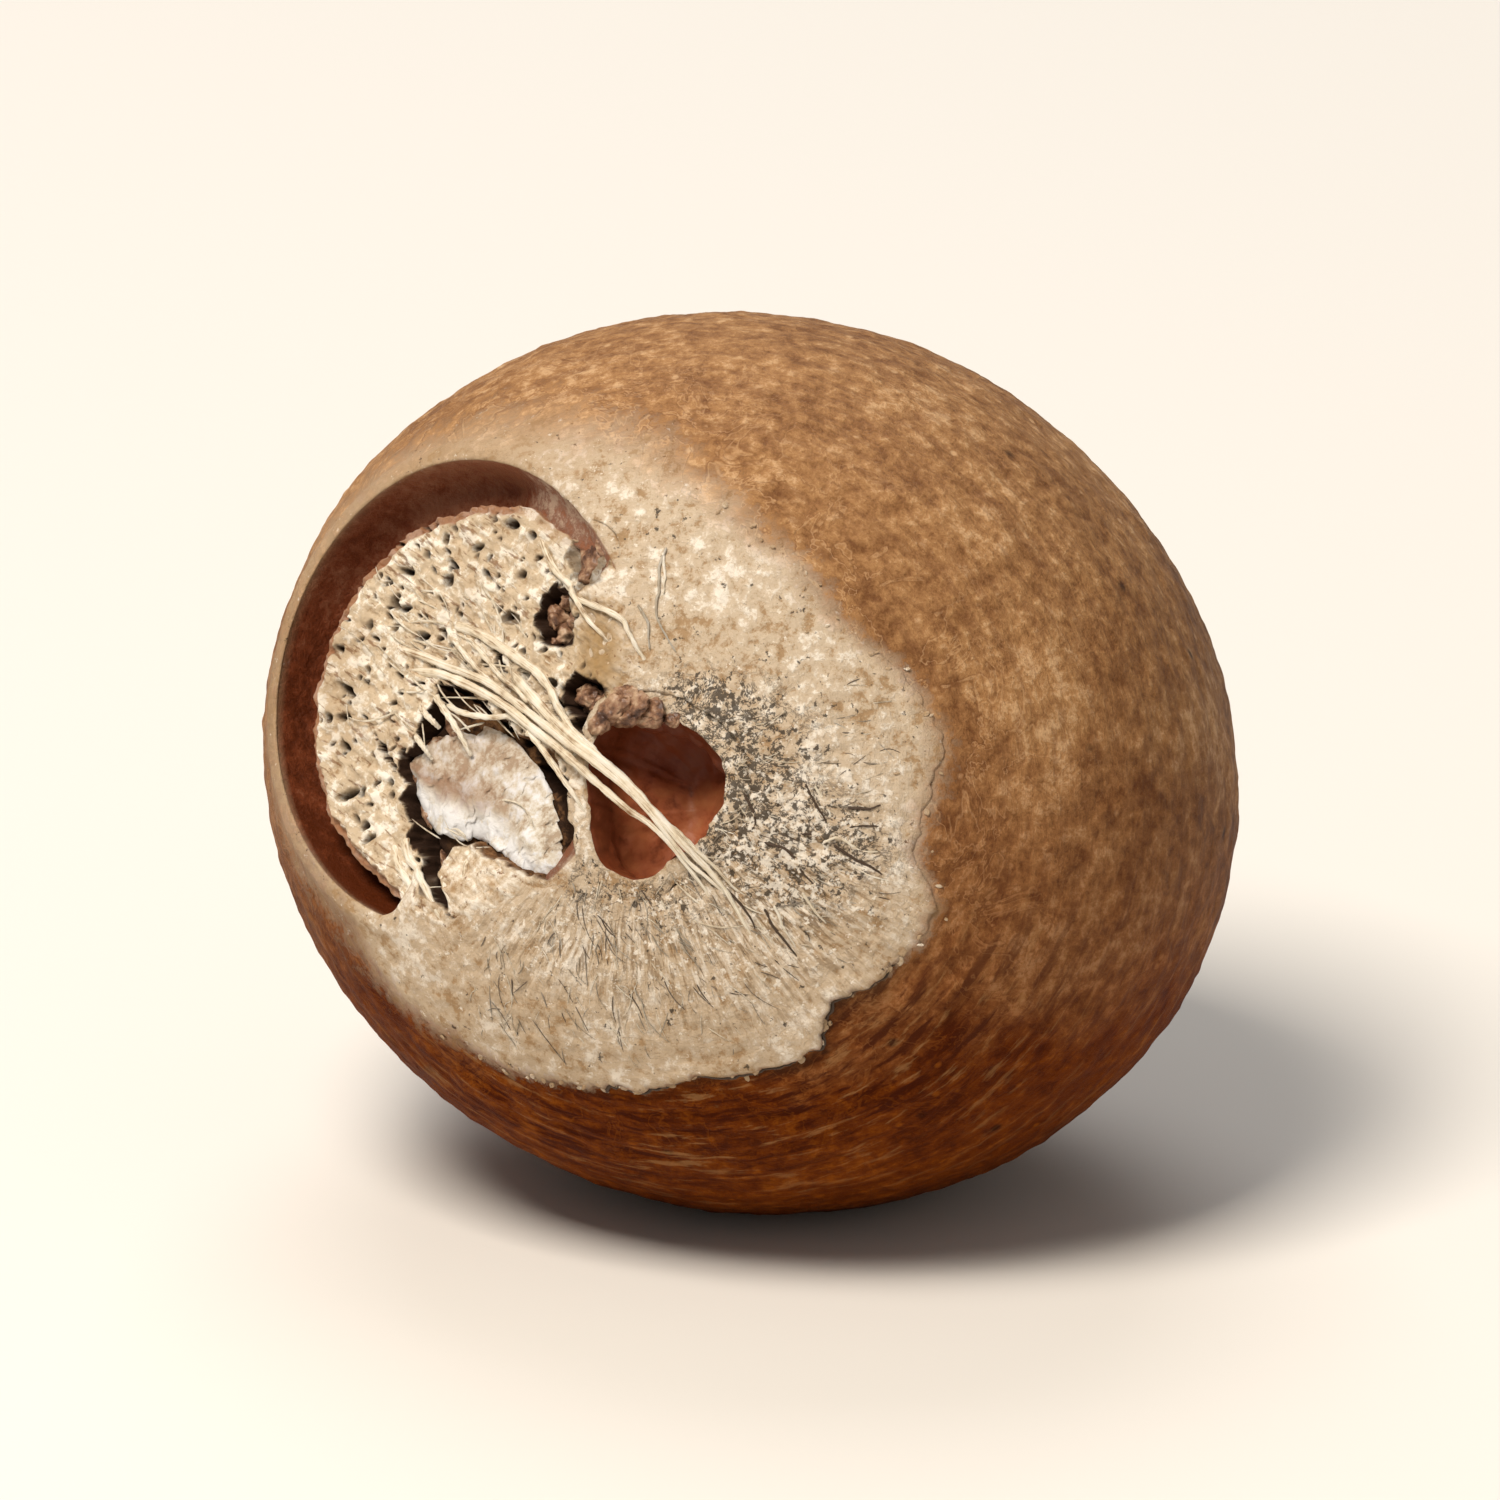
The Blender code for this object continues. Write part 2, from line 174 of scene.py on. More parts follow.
def curveThrough(points, steps):
    # Catmull-Rom: between two points a cubic, whose slope at each is half the way between that
    # point's neighbours
    points = np.asarray(points, float)
    ends = np.concatenate((2 * points[:1] - points[1:2], points, 2 * points[-1:] - points[-2:-1]))
    place = np.linspace(0, len(points) - 1, steps)
    leg = np.minimum(place.astype(int), len(points) - 2)
    t = (place - leg)[:, None]
    before, start, end, after = (ends[leg + k] for k in range(4))
    bend = 2 * before - 5 * start + 4 * end - after
    twist = 3 * start - before - 3 * end + after
    return start + (end - before) * t / 2 + bend * t**2 / 2 + twist * t**3 / 2


def pathDistance(x, y, path):
    # the least distance to the straight pieces between the path's points, and where along the
    # path that is, 0 to 1
    path = np.asarray(path, float)
    best, along = np.full(x.shape, np.inf), np.zeros(x.shape)
    for number, ((startX, startY), (endX, endY)) in enumerate(zip(path[:-1], path[1:])):
        runX, runY = endX - startX, endY - startY
        share = np.clip(((x - startX) * runX + (y - startY) * runY) / (runX**2 + runY**2), 0, 1)
        distance = np.hypot(x - startX - share * runX, y - startY - share * runY)
        along = np.where(distance < best, (number + share) / (len(path) - 1), along)
        best = np.minimum(best, distance)
    return best, along


def insideDistance(x, y, outline):
    # the distance to a closed outline, over 0 inside it: inside is where a ray crosses it an odd
    # number of times
    closed = np.array((*outline, outline[0]), float)
    inside = np.zeros(x.shape, bool)
    for (startX, startY), (endX, endY) in zip(closed[:-1], closed[1:]):
        spans = (startY > y) != (endY > y)
        rise = endY - startY if endY != startY else 1e-9
        inside ^= spans & (x < startX + (y - startY) * (endX - startX) / rise)
    return np.where(inside, 1, -1) * pathDistance(x, y, closed)[0]


def bodyRadius(directions):
    # (across^n + (z / height)^n)^(-1/n) along each unit direction, across being the distance from
    # the axis in shares of the widths, times 1 plus the lumps' sine waves, plus the tip's beak
    x, y, z = np.moveaxis(directions, -1, 0)
    across = np.hypot(x / (nutBody["longWidth"] / 2), y / (nutBody["shortWidth"] / 2))
    height = np.where(z > 0, nutBody["baseHeight"], nutBody["tipHeight"])
    fullness = np.where(z > 0, nutBody["baseFullness"], nutBody["tipFullness"])
    radius = (across**fullness + np.abs(z / height) ** fullness) ** (-1 / fullness)
    swell = sum(
        share * np.sin(directions @ np.array(waves) + phase)
        for share, waves, phase in nutBody["lumps"]
    )
    offTip = np.hypot(x, y) * nutBody["tipHeight"] / nutBody["beakWidth"]
    beak = np.where(z < 0, nutBody["beakHeight"] * np.exp(-(offTip**2)), 0)
    return radius * (1 + swell) + beak


def scarAxes():
    # the normal leans from z by the tilt, towards the azimuth; x and y are turned by the roll
    tilt, azimuth, roll = (math.radians(scar[key]) for key in ("tilt", "azimuth", "roll"))
    flat = np.array((math.cos(azimuth), math.sin(azimuth), 0))
    normal = math.sin(tilt) * flat + np.array((0, 0, math.cos(tilt)))
    along = unit(np.array((1, 0, 0)) - normal * normal[0])
    xAxis = math.cos(roll) * along + math.sin(roll) * np.cross(normal, along)
    return xAxis, np.cross(normal, xAxis), normal


scarX, scarY, scarNormal = scarAxes()
scarCentre = np.array(scar["centre"])
scarHeight = scarCentre @ scarNormal
axisFoot = scarCentre - scarNormal * scarHeight  # where the scar's axis passes the nut's middle


def reachBody(starts, directions, nearest, furthest):
    # how far the body's surface is from each start along each direction, by 26 halvings
    low = np.full(starts.shape[:-1], float(nearest))
    high = np.full(starts.shape[:-1], float(furthest))
    for _ in range(26):
        middle = (low + high) / 2
        points = starts + directions * middle[..., None]
        length = np.linalg.norm(points, axis=-1)
        inside = length < bodyRadius(points / length[..., None])
        low, high = np.where(inside, middle, low), np.where(inside, high, middle)
    return (low + high) / 2


def onScar(x, y, level):
    # the point at x, y of the scar's plane, raised by the level
    return scarCentre + x[..., None] * scarX + y[..., None] * scarY + level[..., None] * scarNormal


def scarPlace(points):
    # the other way round: x, y and level of a point
    offset = points - scarCentre
    return offset @ scarX, offset @ scarY, offset @ scarNormal


def bodyLevel(x, y):
    # how high over the scar's plane the body is
    starts = onScar(x, y, np.zeros(x.shape))
    return reachBody(starts, np.broadcast_to(scarNormal, starts.shape), -9, 6)


def openness(turn):
    # 1 where there is a moat, 0 where pith and body run into each other
    return smooth(0, 0.5, tableAt(scar["moat"], turn))


def lipRise(out, turn):
    # a low round lip along the rim, exp(-d^2), where there is a moat
    offLip = (out - scar["radius"] - scar["lipWidth"] / 2) / (scar["lipWidth"] / 2)
    return openness(turn) * scar["lipHeight"] * np.exp(-(offLip**2))


def setIn(out, turn):
    # 1 in the middle of the plug, 0 from the rim outwards
    fade = scar["wallRun"] + (1 - openness(turn)) * scar["filledRun"]
    return 1 - smooth(scar["radius"] - fade, scar["radius"], out)


def bedLevel(x, y):
    # the body's level outside the rim and the plug's inside, blended by setIn
    inner = setIn(np.hypot(x, y), np.arctan2(y, x))
    return bodyLevel(x, y) * (1 - inner) - scar["plugDrop"] * inner


def bedPoints(tilt, turn):
    # a ray from the axis's foot, at this tilt from the axis and this turn round it, meets the
    # body; inside the rim, on the base's side, the point sinks along the axis to the plug's level
    sideways = np.cos(turn)[..., None] * scarX + np.sin(turn)[..., None] * scarY
    directions = np.cos(tilt)[..., None] * scarNormal + np.sin(tilt)[..., None] * sideways
    starts = np.broadcast_to(axisFoot, directions.shape)
    points = starts + directions * reachBody(starts, directions, 4, 20)[..., None]
    x, y, level = scarPlace(points)
    sink = (level + scar["plugDrop"]) * setIn(np.hypot(x, y), turn) * (tilt < math.pi / 2)
    return points - sink[..., None] * scarNormal


def polePlace(points):
    # the angle round the base's pole, and the distance from it over the surface
    offPole = np.arccos(np.clip(unit(points)[..., 2], -1, 1))
    return np.arctan2(points[..., 1], points[..., 0]), offPole * nutBody["poleArm"]


def poleFlow(points, sideSize=1, lengthSize=1, atDistance=1):
    # a place for patterns that run towards the pole, sideSize wide at this distance from the pole
    # and lengthSize long: cosine, sine and distance over the surface
    around, away = polePlace(points)
    turns = atDistance / sideSize
    return stacked(np.cos(around) * turns, np.sin(around) * turns, away / lengthSize)


def patchShare(points, patches):
    # soft round patches, each exp(-(dx / wide)^2 - (dy / high)^2), placed in degrees from the pole
    around, away = polePlace(points)
    away = np.degrees(away / nutBody["poleArm"])
    east, north = away * np.cos(around), away * np.sin(around)
    return np.clip(sum(
        share * np.exp(-((east - x) / wide) ** 2 - ((north - y) / high) ** 2)
        for x, y, wide, high, share in patches
    ), 0, 1)


def outwards(points):
    # each grid point's normal: the cross product of its two neighbours' differences
    along = np.gradient(points, axis=0)
    around = (np.roll(points, -1, axis=1) - np.roll(points, 1, axis=1)) / 2
    return unit(np.cross(along, around))


def closedShell(rings, poles="middles", **marks):
    # rings of points joined by quads. Each end closes on a pole, the middle of its ring if none
    # is given; with None the last ring joins the first. marks are values at the rings' points
    rows, columns = rings.shape[:2]
    count = rows * columns
    index = np.arange(count).reshape(rows, columns)
    if poles is None:
        index = np.concatenate((index, index[:1]))
    after = np.roll(index, -1, axis=1)
    quads = np.stack((index[:-1], index[1:], after[1:], after[:-1]), axis=-1)
    corners, sizes = [quads.ravel()], [np.full(quads.size // 4, 4)]
    points = rings.reshape(-1, 3)
    marks = {
        name: np.broadcast_to(values, (rows, columns, *np.shape(values)[2:])).reshape(count, -1)
        for name, values in marks.items()
    }
    if poles is not None:
        if poles == "middles":
            poles = (rings[0].mean(axis=0), rings[-1].mean(axis=0))
        nearPole, farPole = np.full(columns, count), np.full(columns, count + 1)
        corners.append(np.stack((nearPole, index[0], after[0]), axis=-1).ravel())
        corners.append(np.stack((farPole, after[-1], index[-1]), axis=-1).ravel())
        sizes.append(np.full(2 * columns, 3))
        points = np.concatenate((points, poles))
        marks = {
            name: np.concatenate((
                values, [values[:columns].mean(axis=0), values[-columns:].mean(axis=0)],
            ))
            for name, values in marks.items()
        }
    return {
        "points": points,
        "corners": np.concatenate(corners),
        "sizes": np.concatenate(sizes),
        "marks": marks,
    }


def lieDown():
    # the rotation of the nut: roll about z, then the base raised, then turned to the left
    lie = Matrix.Rotation(math.radians(-nutBody["baseTurn"]), 3, "Z")
    lie = lie @ Matrix.Rotation(math.radians(90 - nutBody["baseRise"]), 3, "X")
    return np.array(lie @ Matrix.Rotation(math.radians(nutBody["roll"]), 3, "Z"))


def placeInFrame(points):
    # turned, set over the foot, flattened where it stands, and in metres
    placed = points @ lieDown().T + np.array(nutBody["middle"])
    placed[:, 2] = np.maximum(placed[:, 2], 0)
    return placed * 0.001


def addObject(name, data):
    thing = bpy.data.objects.new(name, data)
    bpy.context.scene.collection.objects.link(thing)
    return thing


def addPiece(name, shells, material, isNut=False):
    # all the shells as one mesh, whose marks become point attributes
    starts = np.cumsum([0] + [len(shell["points"]) for shell in shells])[:-1]
    points = placeInFrame(np.concatenate([shell["points"] for shell in shells]))
    corners = np.concatenate([shell["corners"] + start for shell, start in zip(shells, starts)])
    sizes = np.concatenate([shell["sizes"] for shell in shells])
    mesh = bpy.data.meshes.new(name)
    mesh.vertices.add(len(points))
    mesh.vertices.foreach_set("co", points.ravel())
    mesh.loops.add(len(corners))
    mesh.loops.foreach_set("vertex_index", corners)
    mesh.polygons.add(len(sizes))
    mesh.polygons.foreach_set("loop_start", np.concatenate(([0], np.cumsum(sizes)[:-1])))
    mesh.update(calc_edges=True)
    mesh.shade_smooth()
    for mark in shells[0]["marks"]:
        values = np.concatenate([shell["marks"][mark] for shell in shells]).astype(float)
        kind, slot = ("FLOAT", "value") if values.shape[1] == 1 else ("FLOAT_VECTOR", "vector")
        mesh.attributes.new(mark, kind, "POINT").data.foreach_set(slot, values.ravel())
    mesh.materials.append(material)
    piece = addObject(name, mesh)
    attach(piece, "root")
    if isNut:
        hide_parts("nut")
    print(f"{name}: {len(shells)} closed surfaces, {int((sizes - 2).sum())} triangles")
    return piece


def linear(code):
    # an sRGB hex value as the linear numbers that a shader takes
    parts = [int(code[place : place + 2], 16) / 255 for place in (1, 3, 5)]
    return (*(s / 12.92 if s <= 0.04045 else ((s + 0.055) / 1.055) ** 2.4 for s in parts), 1)


def feed(node, links):
    # what goes into the node's inputs, by name or number: a socket, a number or a hex colour
    for key, value in links.items():
        if isinstance(value, bpy.types.NodeSocket):
            node.id_data.links.new(value, node.inputs[key])
        else:
            node.inputs[key].default_value = linear(value) if isinstance(value, str) else value


def addNode(tree, kind, links=None, stops=None, output=0, **settings):
    # a node of this kind with its settings and links. stops are a ramp's, each a place and a hex
    # colour or a grey. Gives one of its outputs
    node = tree.nodes.new("ShaderNode" + kind)
    for key, value in settings.items():
        setattr(node, key, value)
    feed(node, links or {})
    elements = node.color_ramp.elements if stops else []
    while len(elements) < len(stops or ()):
        elements.new(0.5)
    for element, (place, colour) in zip(elements, stops or ()):
        element.position = place
        element.color = linear(colour) if isinstance(colour, str) else (colour,) * 3 + (1,)
    return node.outputs[output]


def newMaterial(name, sockets):
    # a material whose Principled shader starts from these values, what adds nodes to it, and the
    # shader
    material = bpy.data.materials.new(name)
    material.use_nodes = True
    shader = material.node_tree.nodes["Principled BSDF"]
    feed(shader, sockets)
    return material, partial(addNode, material.node_tree), shader


def paintOver(add, colour, layers):
    # each layer's colour covers the last one as far as its pattern says, which a ramp sharpens
    # where there is one, times its strength
    for tint, pattern, ramp, strength in layers:
        share = add("ValToRGB", {0: pattern}, stops=ramp) if ramp else pattern
        share = add("Math", {0: share, 1: strength}, operation="MULTIPLY")
        colour = add("Mix", {0: share, 6: colour, 7: tint}, data_type="RGBA", output=2)
    return colour


membrane = {
    "sectors": 800,
    "rings": 104,
    "underRings": 12,
    "thickness": 0.05,
    "under": 0.14,  # how deep its lower side lies in the kernel
    "pitCut": 1.6,  # how deep it sinks under the pits and the sunken middle
    # where it ends: angle round the scar, tilt from its axis, how soft the edge is, how far it
    # stands off in millimetres
    "edge": (
        (-180, 34, 1, 0), (-160, 33.7, 0.95, 0), (-140, 34, 0.9, 0), (-126, 35.2, 0.85, 0),
        (-119.5, 37.4, 0.8, 0), (-114, 40.2, 0.7, 0), (-107, 43.8, 0.5, 0), (-98.6, 46.7, 0.4, 0),
        (-90.8, 49.9, 0.28, 0.02), (-83.5, 52.9, 0.2, 0.04), (-76.8, 56.2, 0.12, 0.06),
        (-69.7, 58.9, 0.1, 0.08), (-62.2, 61.4, 0.04, 0.14), (-56.6, 64.5, 0.02, 0.1),
        (-50.9, 67.7, 0.05, 0.08), (-45.8, 68.7, 0.02, 0.2), (-41, 67.2, 0.02, 0.22),
        (-35.8, 70.2, 0.1, 0.1), (-30.6, 71.4, 0.15, 0.08), (-26.4, 72.7, 0.2, 0.08),
        (-22.7, 70.2, 0.25, 0.06), (-19.6, 67.6, 0.3, 0.04), (-15.5, 68.4, 0.3, 0.03),
        (-7.3, 69, 0.32, 0.02), (-1.8, 66, 0.32, 0.02), (3.8, 61.6, 0.35, 0.01),
        (8.6, 56.4, 0.4, 0), (16, 53.9, 0.42, 0), (23.9, 49.3, 0.5, 0), (33.9, 46, 0.6, 0),
        (42.3, 44, 0.7, 0), (52.5, 42.6, 0.8, 0), (64.4, 39.8, 0.9, 0), (74.8, 37.8, 0.95, 0),
        (85.2, 36.6, 1, 0), (100, 35.8, 1, 0), (120, 35.2, 1, 0), (150, 34.6, 1, 0),
    ),
    # noises as height in mm, size and seed: the ragged edge, and the grain on top
    "ragged": ((0.3, 2.2, 5), (0.2, 0.8, 6), (0.14, 0.32, 7), (0.07, 0.17, 8)),
    "grain": ((0.035, 0.6, 22), (0.035, 0.28, 23)),
    "beading": 0.09,  # how high its dark grains and its fibres stand
    "strands": 0.055,
    # where it is dark and grainy, and where its fibres show: the middle of each patch in degrees
    # from the base's pole, how wide and high it is, its share
    "speckled": (
        (14, -1, 8, 9, 1.0), (6, 12, 7, 5, 0.75), (26, -1, 11, 6, 0.75), (24, -9, 8, 5, 0.45),
        (5, -17, 10, 4.5, 0.5), (-6, -17, 6, 4, 0.35), (16, 12, 9, 7, 0.4),
    ),
    "fibrous": ((24, -9, 13, 13, 1.0), (8, -24, 17, 9, 0.7), (-10, -27, 12, 7, 0.5)),
}


def membraneEdge(turn):
    # the table's tilt, with a ragged line: noise round a circle of 12 mm, calmer where there is a
    # moat
    ragged = layered(circleAt(turn, 12), membrane["ragged"])
    calm = np.where(openness(turn) > 0.99, smooth(36, 42, tableAt(membrane["edge"], turn)), 1)
    edge = np.radians(tableAt(membrane["edge"], turn, 1, 1.5))
    return edge + ragged * (0.3 + 0.7 * calm) / scar["arm"]


def pastEdge(points, turn):
    # millimetres beyond the membrane's edge, under 0 inside it
    tilt = np.arccos(np.clip(unit(points - axisFoot) @ scarNormal, -1, 1))
    return (tilt - membraneEdge(turn)) * scar["arm"]


# The hollow of the embryo, in x, y of the scar's plane.
cavity = {
    "outline": (
        (8.85, -2.75), (8.75, -2.2), (8.3, -1.6), (7.6, -1.1), (6.8, -0.95), (6.1, -1.05),
        (5.55, -1.45), (5.25, -2.1), (5.15, -2.9), (5.2, -3.7), (5.15, -4.5), (5.35, -5.15),
        (5.8, -5.5), (6.35, -5.58), (6.85, -5.4), (7.3, -5), (7.9, -4.65), (8.35, -4.1),
        (8.75, -3.4),
    ),
    "centre": (6.9, -3.2),
    "depth": 2.5,
    "sectors": 360,
    "wallRings": 90,
    "flangeRings": 14,
    "flange": 0.7,
    "shelf": (62, 48, 0.5),  # the middle of its arc, half the arc, how far it reaches in
    # noises as height, size and seed: its ragged outline, and the roughness of its wall
    "ragged": ((0.05, 0.5, 11), (0.03, 0.2, 12)),
    "rough": ((0.06, 0.7, 53), (0.03, 0.3, 54)),
    # the wall from the middle of the floor up: share of the outline's radius, how much less that
    # is at the shelf in mm and in shares of its ragged reach, share of the depth, mm over that
    "profile": (
        (0.12, 0, 0, 1, 0), (0.45, 0, 0, 0.97, 0), (0.8, 0, 0, 0.86, 0), (1.0, 0, 0, 0.66, 0),
        (1.04, 0.1, 0, 0.48, 0), (1.0, 0, 0.8, 0.36, 0), (0.99, 0, 1, 0.26, 0),
        (0.98, 0, 0.5, 0.16, 0), (0.98, 0, 0, 0, -0.12), (1.0, 0, 0, 0, 0.03),
    ),
}


def cavityRadius(turn):
    # how far the outline is from the cavity's centre at each angle round it, by a periodic
    # straight-line table, with a slightly ragged line
    x, y = (curveThrough(cavity["outline"] + cavity["outline"][:1], 200) - cavity["centre"]).T
    angles = np.degrees(np.arctan2(y, x))
    order = np.argsort(angles)
    radius = np.interp(np.degrees(turn), angles[order], np.hypot(x, y)[order], period=360)
    return radius + layered(circleAt(turn, 2), cavity["ragged"])


def cavityInside(x, y):
    # millimetres inside the cavity's outline, along the ray from its centre
    offX, offY = x - cavity["centre"][0], y - cavity["centre"][1]
    return cavityRadius(np.arctan2(offY, offX)) - np.hypot(offX, offY)


kernel = {
    "sectors": 600,
    "hiddenRings": 6,
    "moatRings": 16,
    "lipRings": 5,
    "lipRun": 0.7,
    "coveredRings": 10,
    "covered": 0.4,  # where the fine rings start, mm inside the membrane's edge
    "skinRings": 108,
    "tipRings": 19,
    "skinTo": 140,  # degrees from the scar's axis
    "wallRound": 0.3,
    "hiddenDepth": 2.3,
    # its dents and grain: noises as height in mm, size and seed
    "relief": ((0.05, 3.2, 1), (0.025, 1.4, 2), (0.045, 0.7, 3), (0.027, 0.38, 5)),
    "lines": 0.06,  # the height of its streaks
    "cavityDip": (6.9, -3.25, 2.3, 2.6),  # the middle and the radii of the dip under the cavity
}


def moatLevel(x, y):
    # from the rim inwards a wall, 1 - exp(-(inward / round)^1.3) of the way down to the floor;
    # without a moat it is longer, and the floor is hidden under the plug
    out, turn = np.hypot(x, y), np.arctan2(y, x)
    openShare = openness(turn)
    inward = np.maximum(scar["radius"] - out, 0)
    down = 1 - np.exp(-((inward / (kernel["wallRound"] + 1.4 * (1 - openShare))) ** 1.3))
    width = tableAt(scar["moat"], turn)
    openShare = openShare * (1 - smooth(width + 0.35, width + 0.5, inward))
    depth = tableAt(scar["moat"], turn, 2) * openShare + kernel["hiddenDepth"] * (1 - openShare)
    return bodyLevel(x, y) * (1 - down) - (scar["plugDrop"] + depth) * down + lipRise(out, turn)


def makeKernel(material):
    # rings round the scar's axis: inside the rim by distance, outside it by tilt, close together
    # from the membrane's edge on
    turn, rim = evenTurns(kernel["sectors"]), scar["radius"]
    width = np.maximum(tableAt(scar["moat"], turn), 0.6)
    hidden = np.linspace(0.15, 1, kernel["hiddenRings"])[:, None] * (rim - width - 0.5)
    moat = hidden[-1] + (1 - (1 - shares(kernel["moatRings"])) ** 1.6) * (rim - hidden[-1])
    lip = rim + kernel["lipRun"] * shares(kernel["lipRings"]) + 0 * turn
    distance = np.concatenate((hidden, moat, lip))
    x, y = spun(distance, turn)
    scarRings = onScar(x, y, moatLevel(x, y))

    startTilt = np.arccos(unit(scarRings[-1] - axisFoot) @ scarNormal)
    edgeTilt = np.maximum(membraneEdge(turn) - kernel["covered"] / scar["arm"], startTilt + 0.01)
    tipTilt = math.radians(kernel["skinTo"])
    tilts = np.concatenate((
        startTilt + shares(kernel["coveredRings"]) * (edgeTilt - startTilt),
        edgeTilt + shares(kernel["skinRings"]) * (tipTilt - edgeTilt),
        tipTilt + shares(kernel["tipRings"] + 1)[:-1] * (math.pi - tipTilt) + 0 * turn,
    ))
    rings = np.concatenate((scarRings, bedPoints(tilts, turn)))

    x, y, _ = scarPlace(rings)
    out, past, flow = np.hypot(x, y), pastEdge(rings, turn), poleFlow(rings)
    # a band of streaks lies along the membrane's lower edge
    degrees = np.degrees(polePlace(rings)[0])
    band = smooth(-135, -105, degrees) * (1 - smooth(-30, 5, degrees))
    band = band * smooth(0, 0.5, past) * (1 - smooth(2.5, 7, past))
    lines = kernel["lines"] * noise(poleFlow(rings, 2.6, 0.42, 10), 1, 4) * (0.3 + 1.3 * band)
    relief = smooth(-0.3, 0.3, past) * (layered(rings, kernel["relief"]) + lines)
    rings = rings + outwards(rings) * relief[..., None]
    front = rings @ scarNormal > 0
    middleX, middleY, long, high = kernel["cavityDip"]
    dip = 1 - smooth(0.92, 1.2, np.hypot((x - middleX) / long, (y - middleY) / high))
    dip = scar["cavityCut"] * dip * front * (out < scar["reach"])
    rings = rings - dip[..., None] * scarNormal

    wall = (1 - smooth(rim - 0.1, rim + 0.02, out)) * front
    addPiece("nutKernel", [closedShell(
        rings, pastEdge=past, softness=tableAt(membrane["edge"], turn, 2), moatWall=wall,
        shallow=wall * (1 - smooth(0.3, 0.95, tableAt(scar["moat"], turn, 2))), band=band,
        # painted light and shade: the moat's wall is lighter towards its top and darker away from
        # it
        wallTone=wall * (0.12 * np.cos(turn - math.radians(95)) - 0.035), flow=flow,
    )], material, isNut=True)


def quarterRound(run):
    # a quarter of a circle: 0 at the start, 1 from a run of 1 on
    return np.sqrt(1 - (1 - np.clip(run, 0, 1)) ** 2)


def makeMembrane(material):
    # a thin sheet over the kernel from the rim to the ragged edge: the top's height over the bed
    # is its thickness, its grain and fibres, and the lift of its torn edge
    turn, ringCount = evenTurns(membrane["sectors"]), membrane["rings"]
    # it starts at the rim, or under the plug where there is no moat
    innerOut = scar["radius"] - 0.05 - 1.6 * (1 - openness(turn))
    innerTilt = np.arctan2(innerOut, scarHeight + bodyLevel(*spun(innerOut, turn)))
    tiltRun = membraneEdge(turn) - innerTilt
    share = 1 - (1 - np.linspace(0, 1, ringCount)[:, None]) ** 1.12
    bed = bedPoints(innerTilt + share * tiltRun, turn)
    facing = outwards(bed)
    x, y, _ = scarPlace(bed)
    out = np.hypot(x, y)
    fromEdge, fromRim = (1 - share) * tiltRun * scar["arm"], share * tiltRun * scar["arm"]
    softness = tableAt(membrane["edge"], turn, 2)
    speckle = patchShare(bed, membrane["speckled"])

    lift = 0.7 + 0.9 * noise(circleAt(turn, 12), 1.1, 21)
    lift = np.maximum(tableAt(membrane["edge"], turn, 3, 1.5) * lift, 0)
    lift = lift * np.exp(-((fromEdge / 0.55) ** 2))
    rounded = quarterRound(fromEdge / (0.15 + 2.2 * softness)) * quarterRound(fromRim / 0.12)
    beading = 1 - 2 * np.abs(noise(poleFlow(bed, 0.3, 0.5, 5), 1, 24))
    beading = membrane["beading"] * speckle * beading
    strands = membrane["strands"] * noise(poleFlow(bed, 0.2, 1.3, 7), 1, 25)
    strands = strands * (0.25 + patchShare(bed, membrane["fibrous"]))
    grain = layered(bed, membrane["grain"])
    height = (membrane["thickness"] + grain + beading + strands) * rounded
    height = height + lift + lipRise(out, turn)
    # under the plug's holes it sinks out of sight, and over the cavity it has a hole
    front = out < scar["reach"]
    sunk = smooth(-0.25, 0.0, insideDistance(x, y, plug["hollow"])) * smooth(-6.6, -5.6, y)
    sunk = membrane["pitCut"] * np.maximum(sunk, smooth(0.1, 0.3, pitShare(x, y)))
    hole = np.maximum(scar["cavityCut"] * smooth(-0.62, -0.34, cavityInside(x, y)), sunk) * front
    top = bed + facing * height[..., None] - hole[..., None] * scarNormal

    # the lower side has fewer rings, close together under the edge
    pick = (ringCount - 1) * (1 - np.linspace(0, 1, membrane["underRings"]) ** 2)
    pick = np.unique(np.round(pick).astype(int))[::-1]
    atEdge = np.exp(-((fromEdge[pick] / 0.5) ** 2)) * (lift[-1] > 0.02)
    under = (lift[pick] + membrane["under"] - 0.01) * atEdge - membrane["under"]
    hole = scar["cavityCut"] * smooth(-2.2, -1.0, cavityInside(x, y)) * front + sunk
    under = bed[pick] + facing[pick] * under[..., None] - hole[pick][..., None] * scarNormal
    rings = np.concatenate((top, under))
    addPiece("scarMembrane", [closedShell(
        rings, poles=None, pastEdge=-np.concatenate((fromEdge, fromEdge[pick])),
        softness=softness, speckle=np.concatenate((speckle, speckle[pick])),
        radial=patchShare(rings, membrane["fibrous"]), flow=poleFlow(rings),
    )], material)


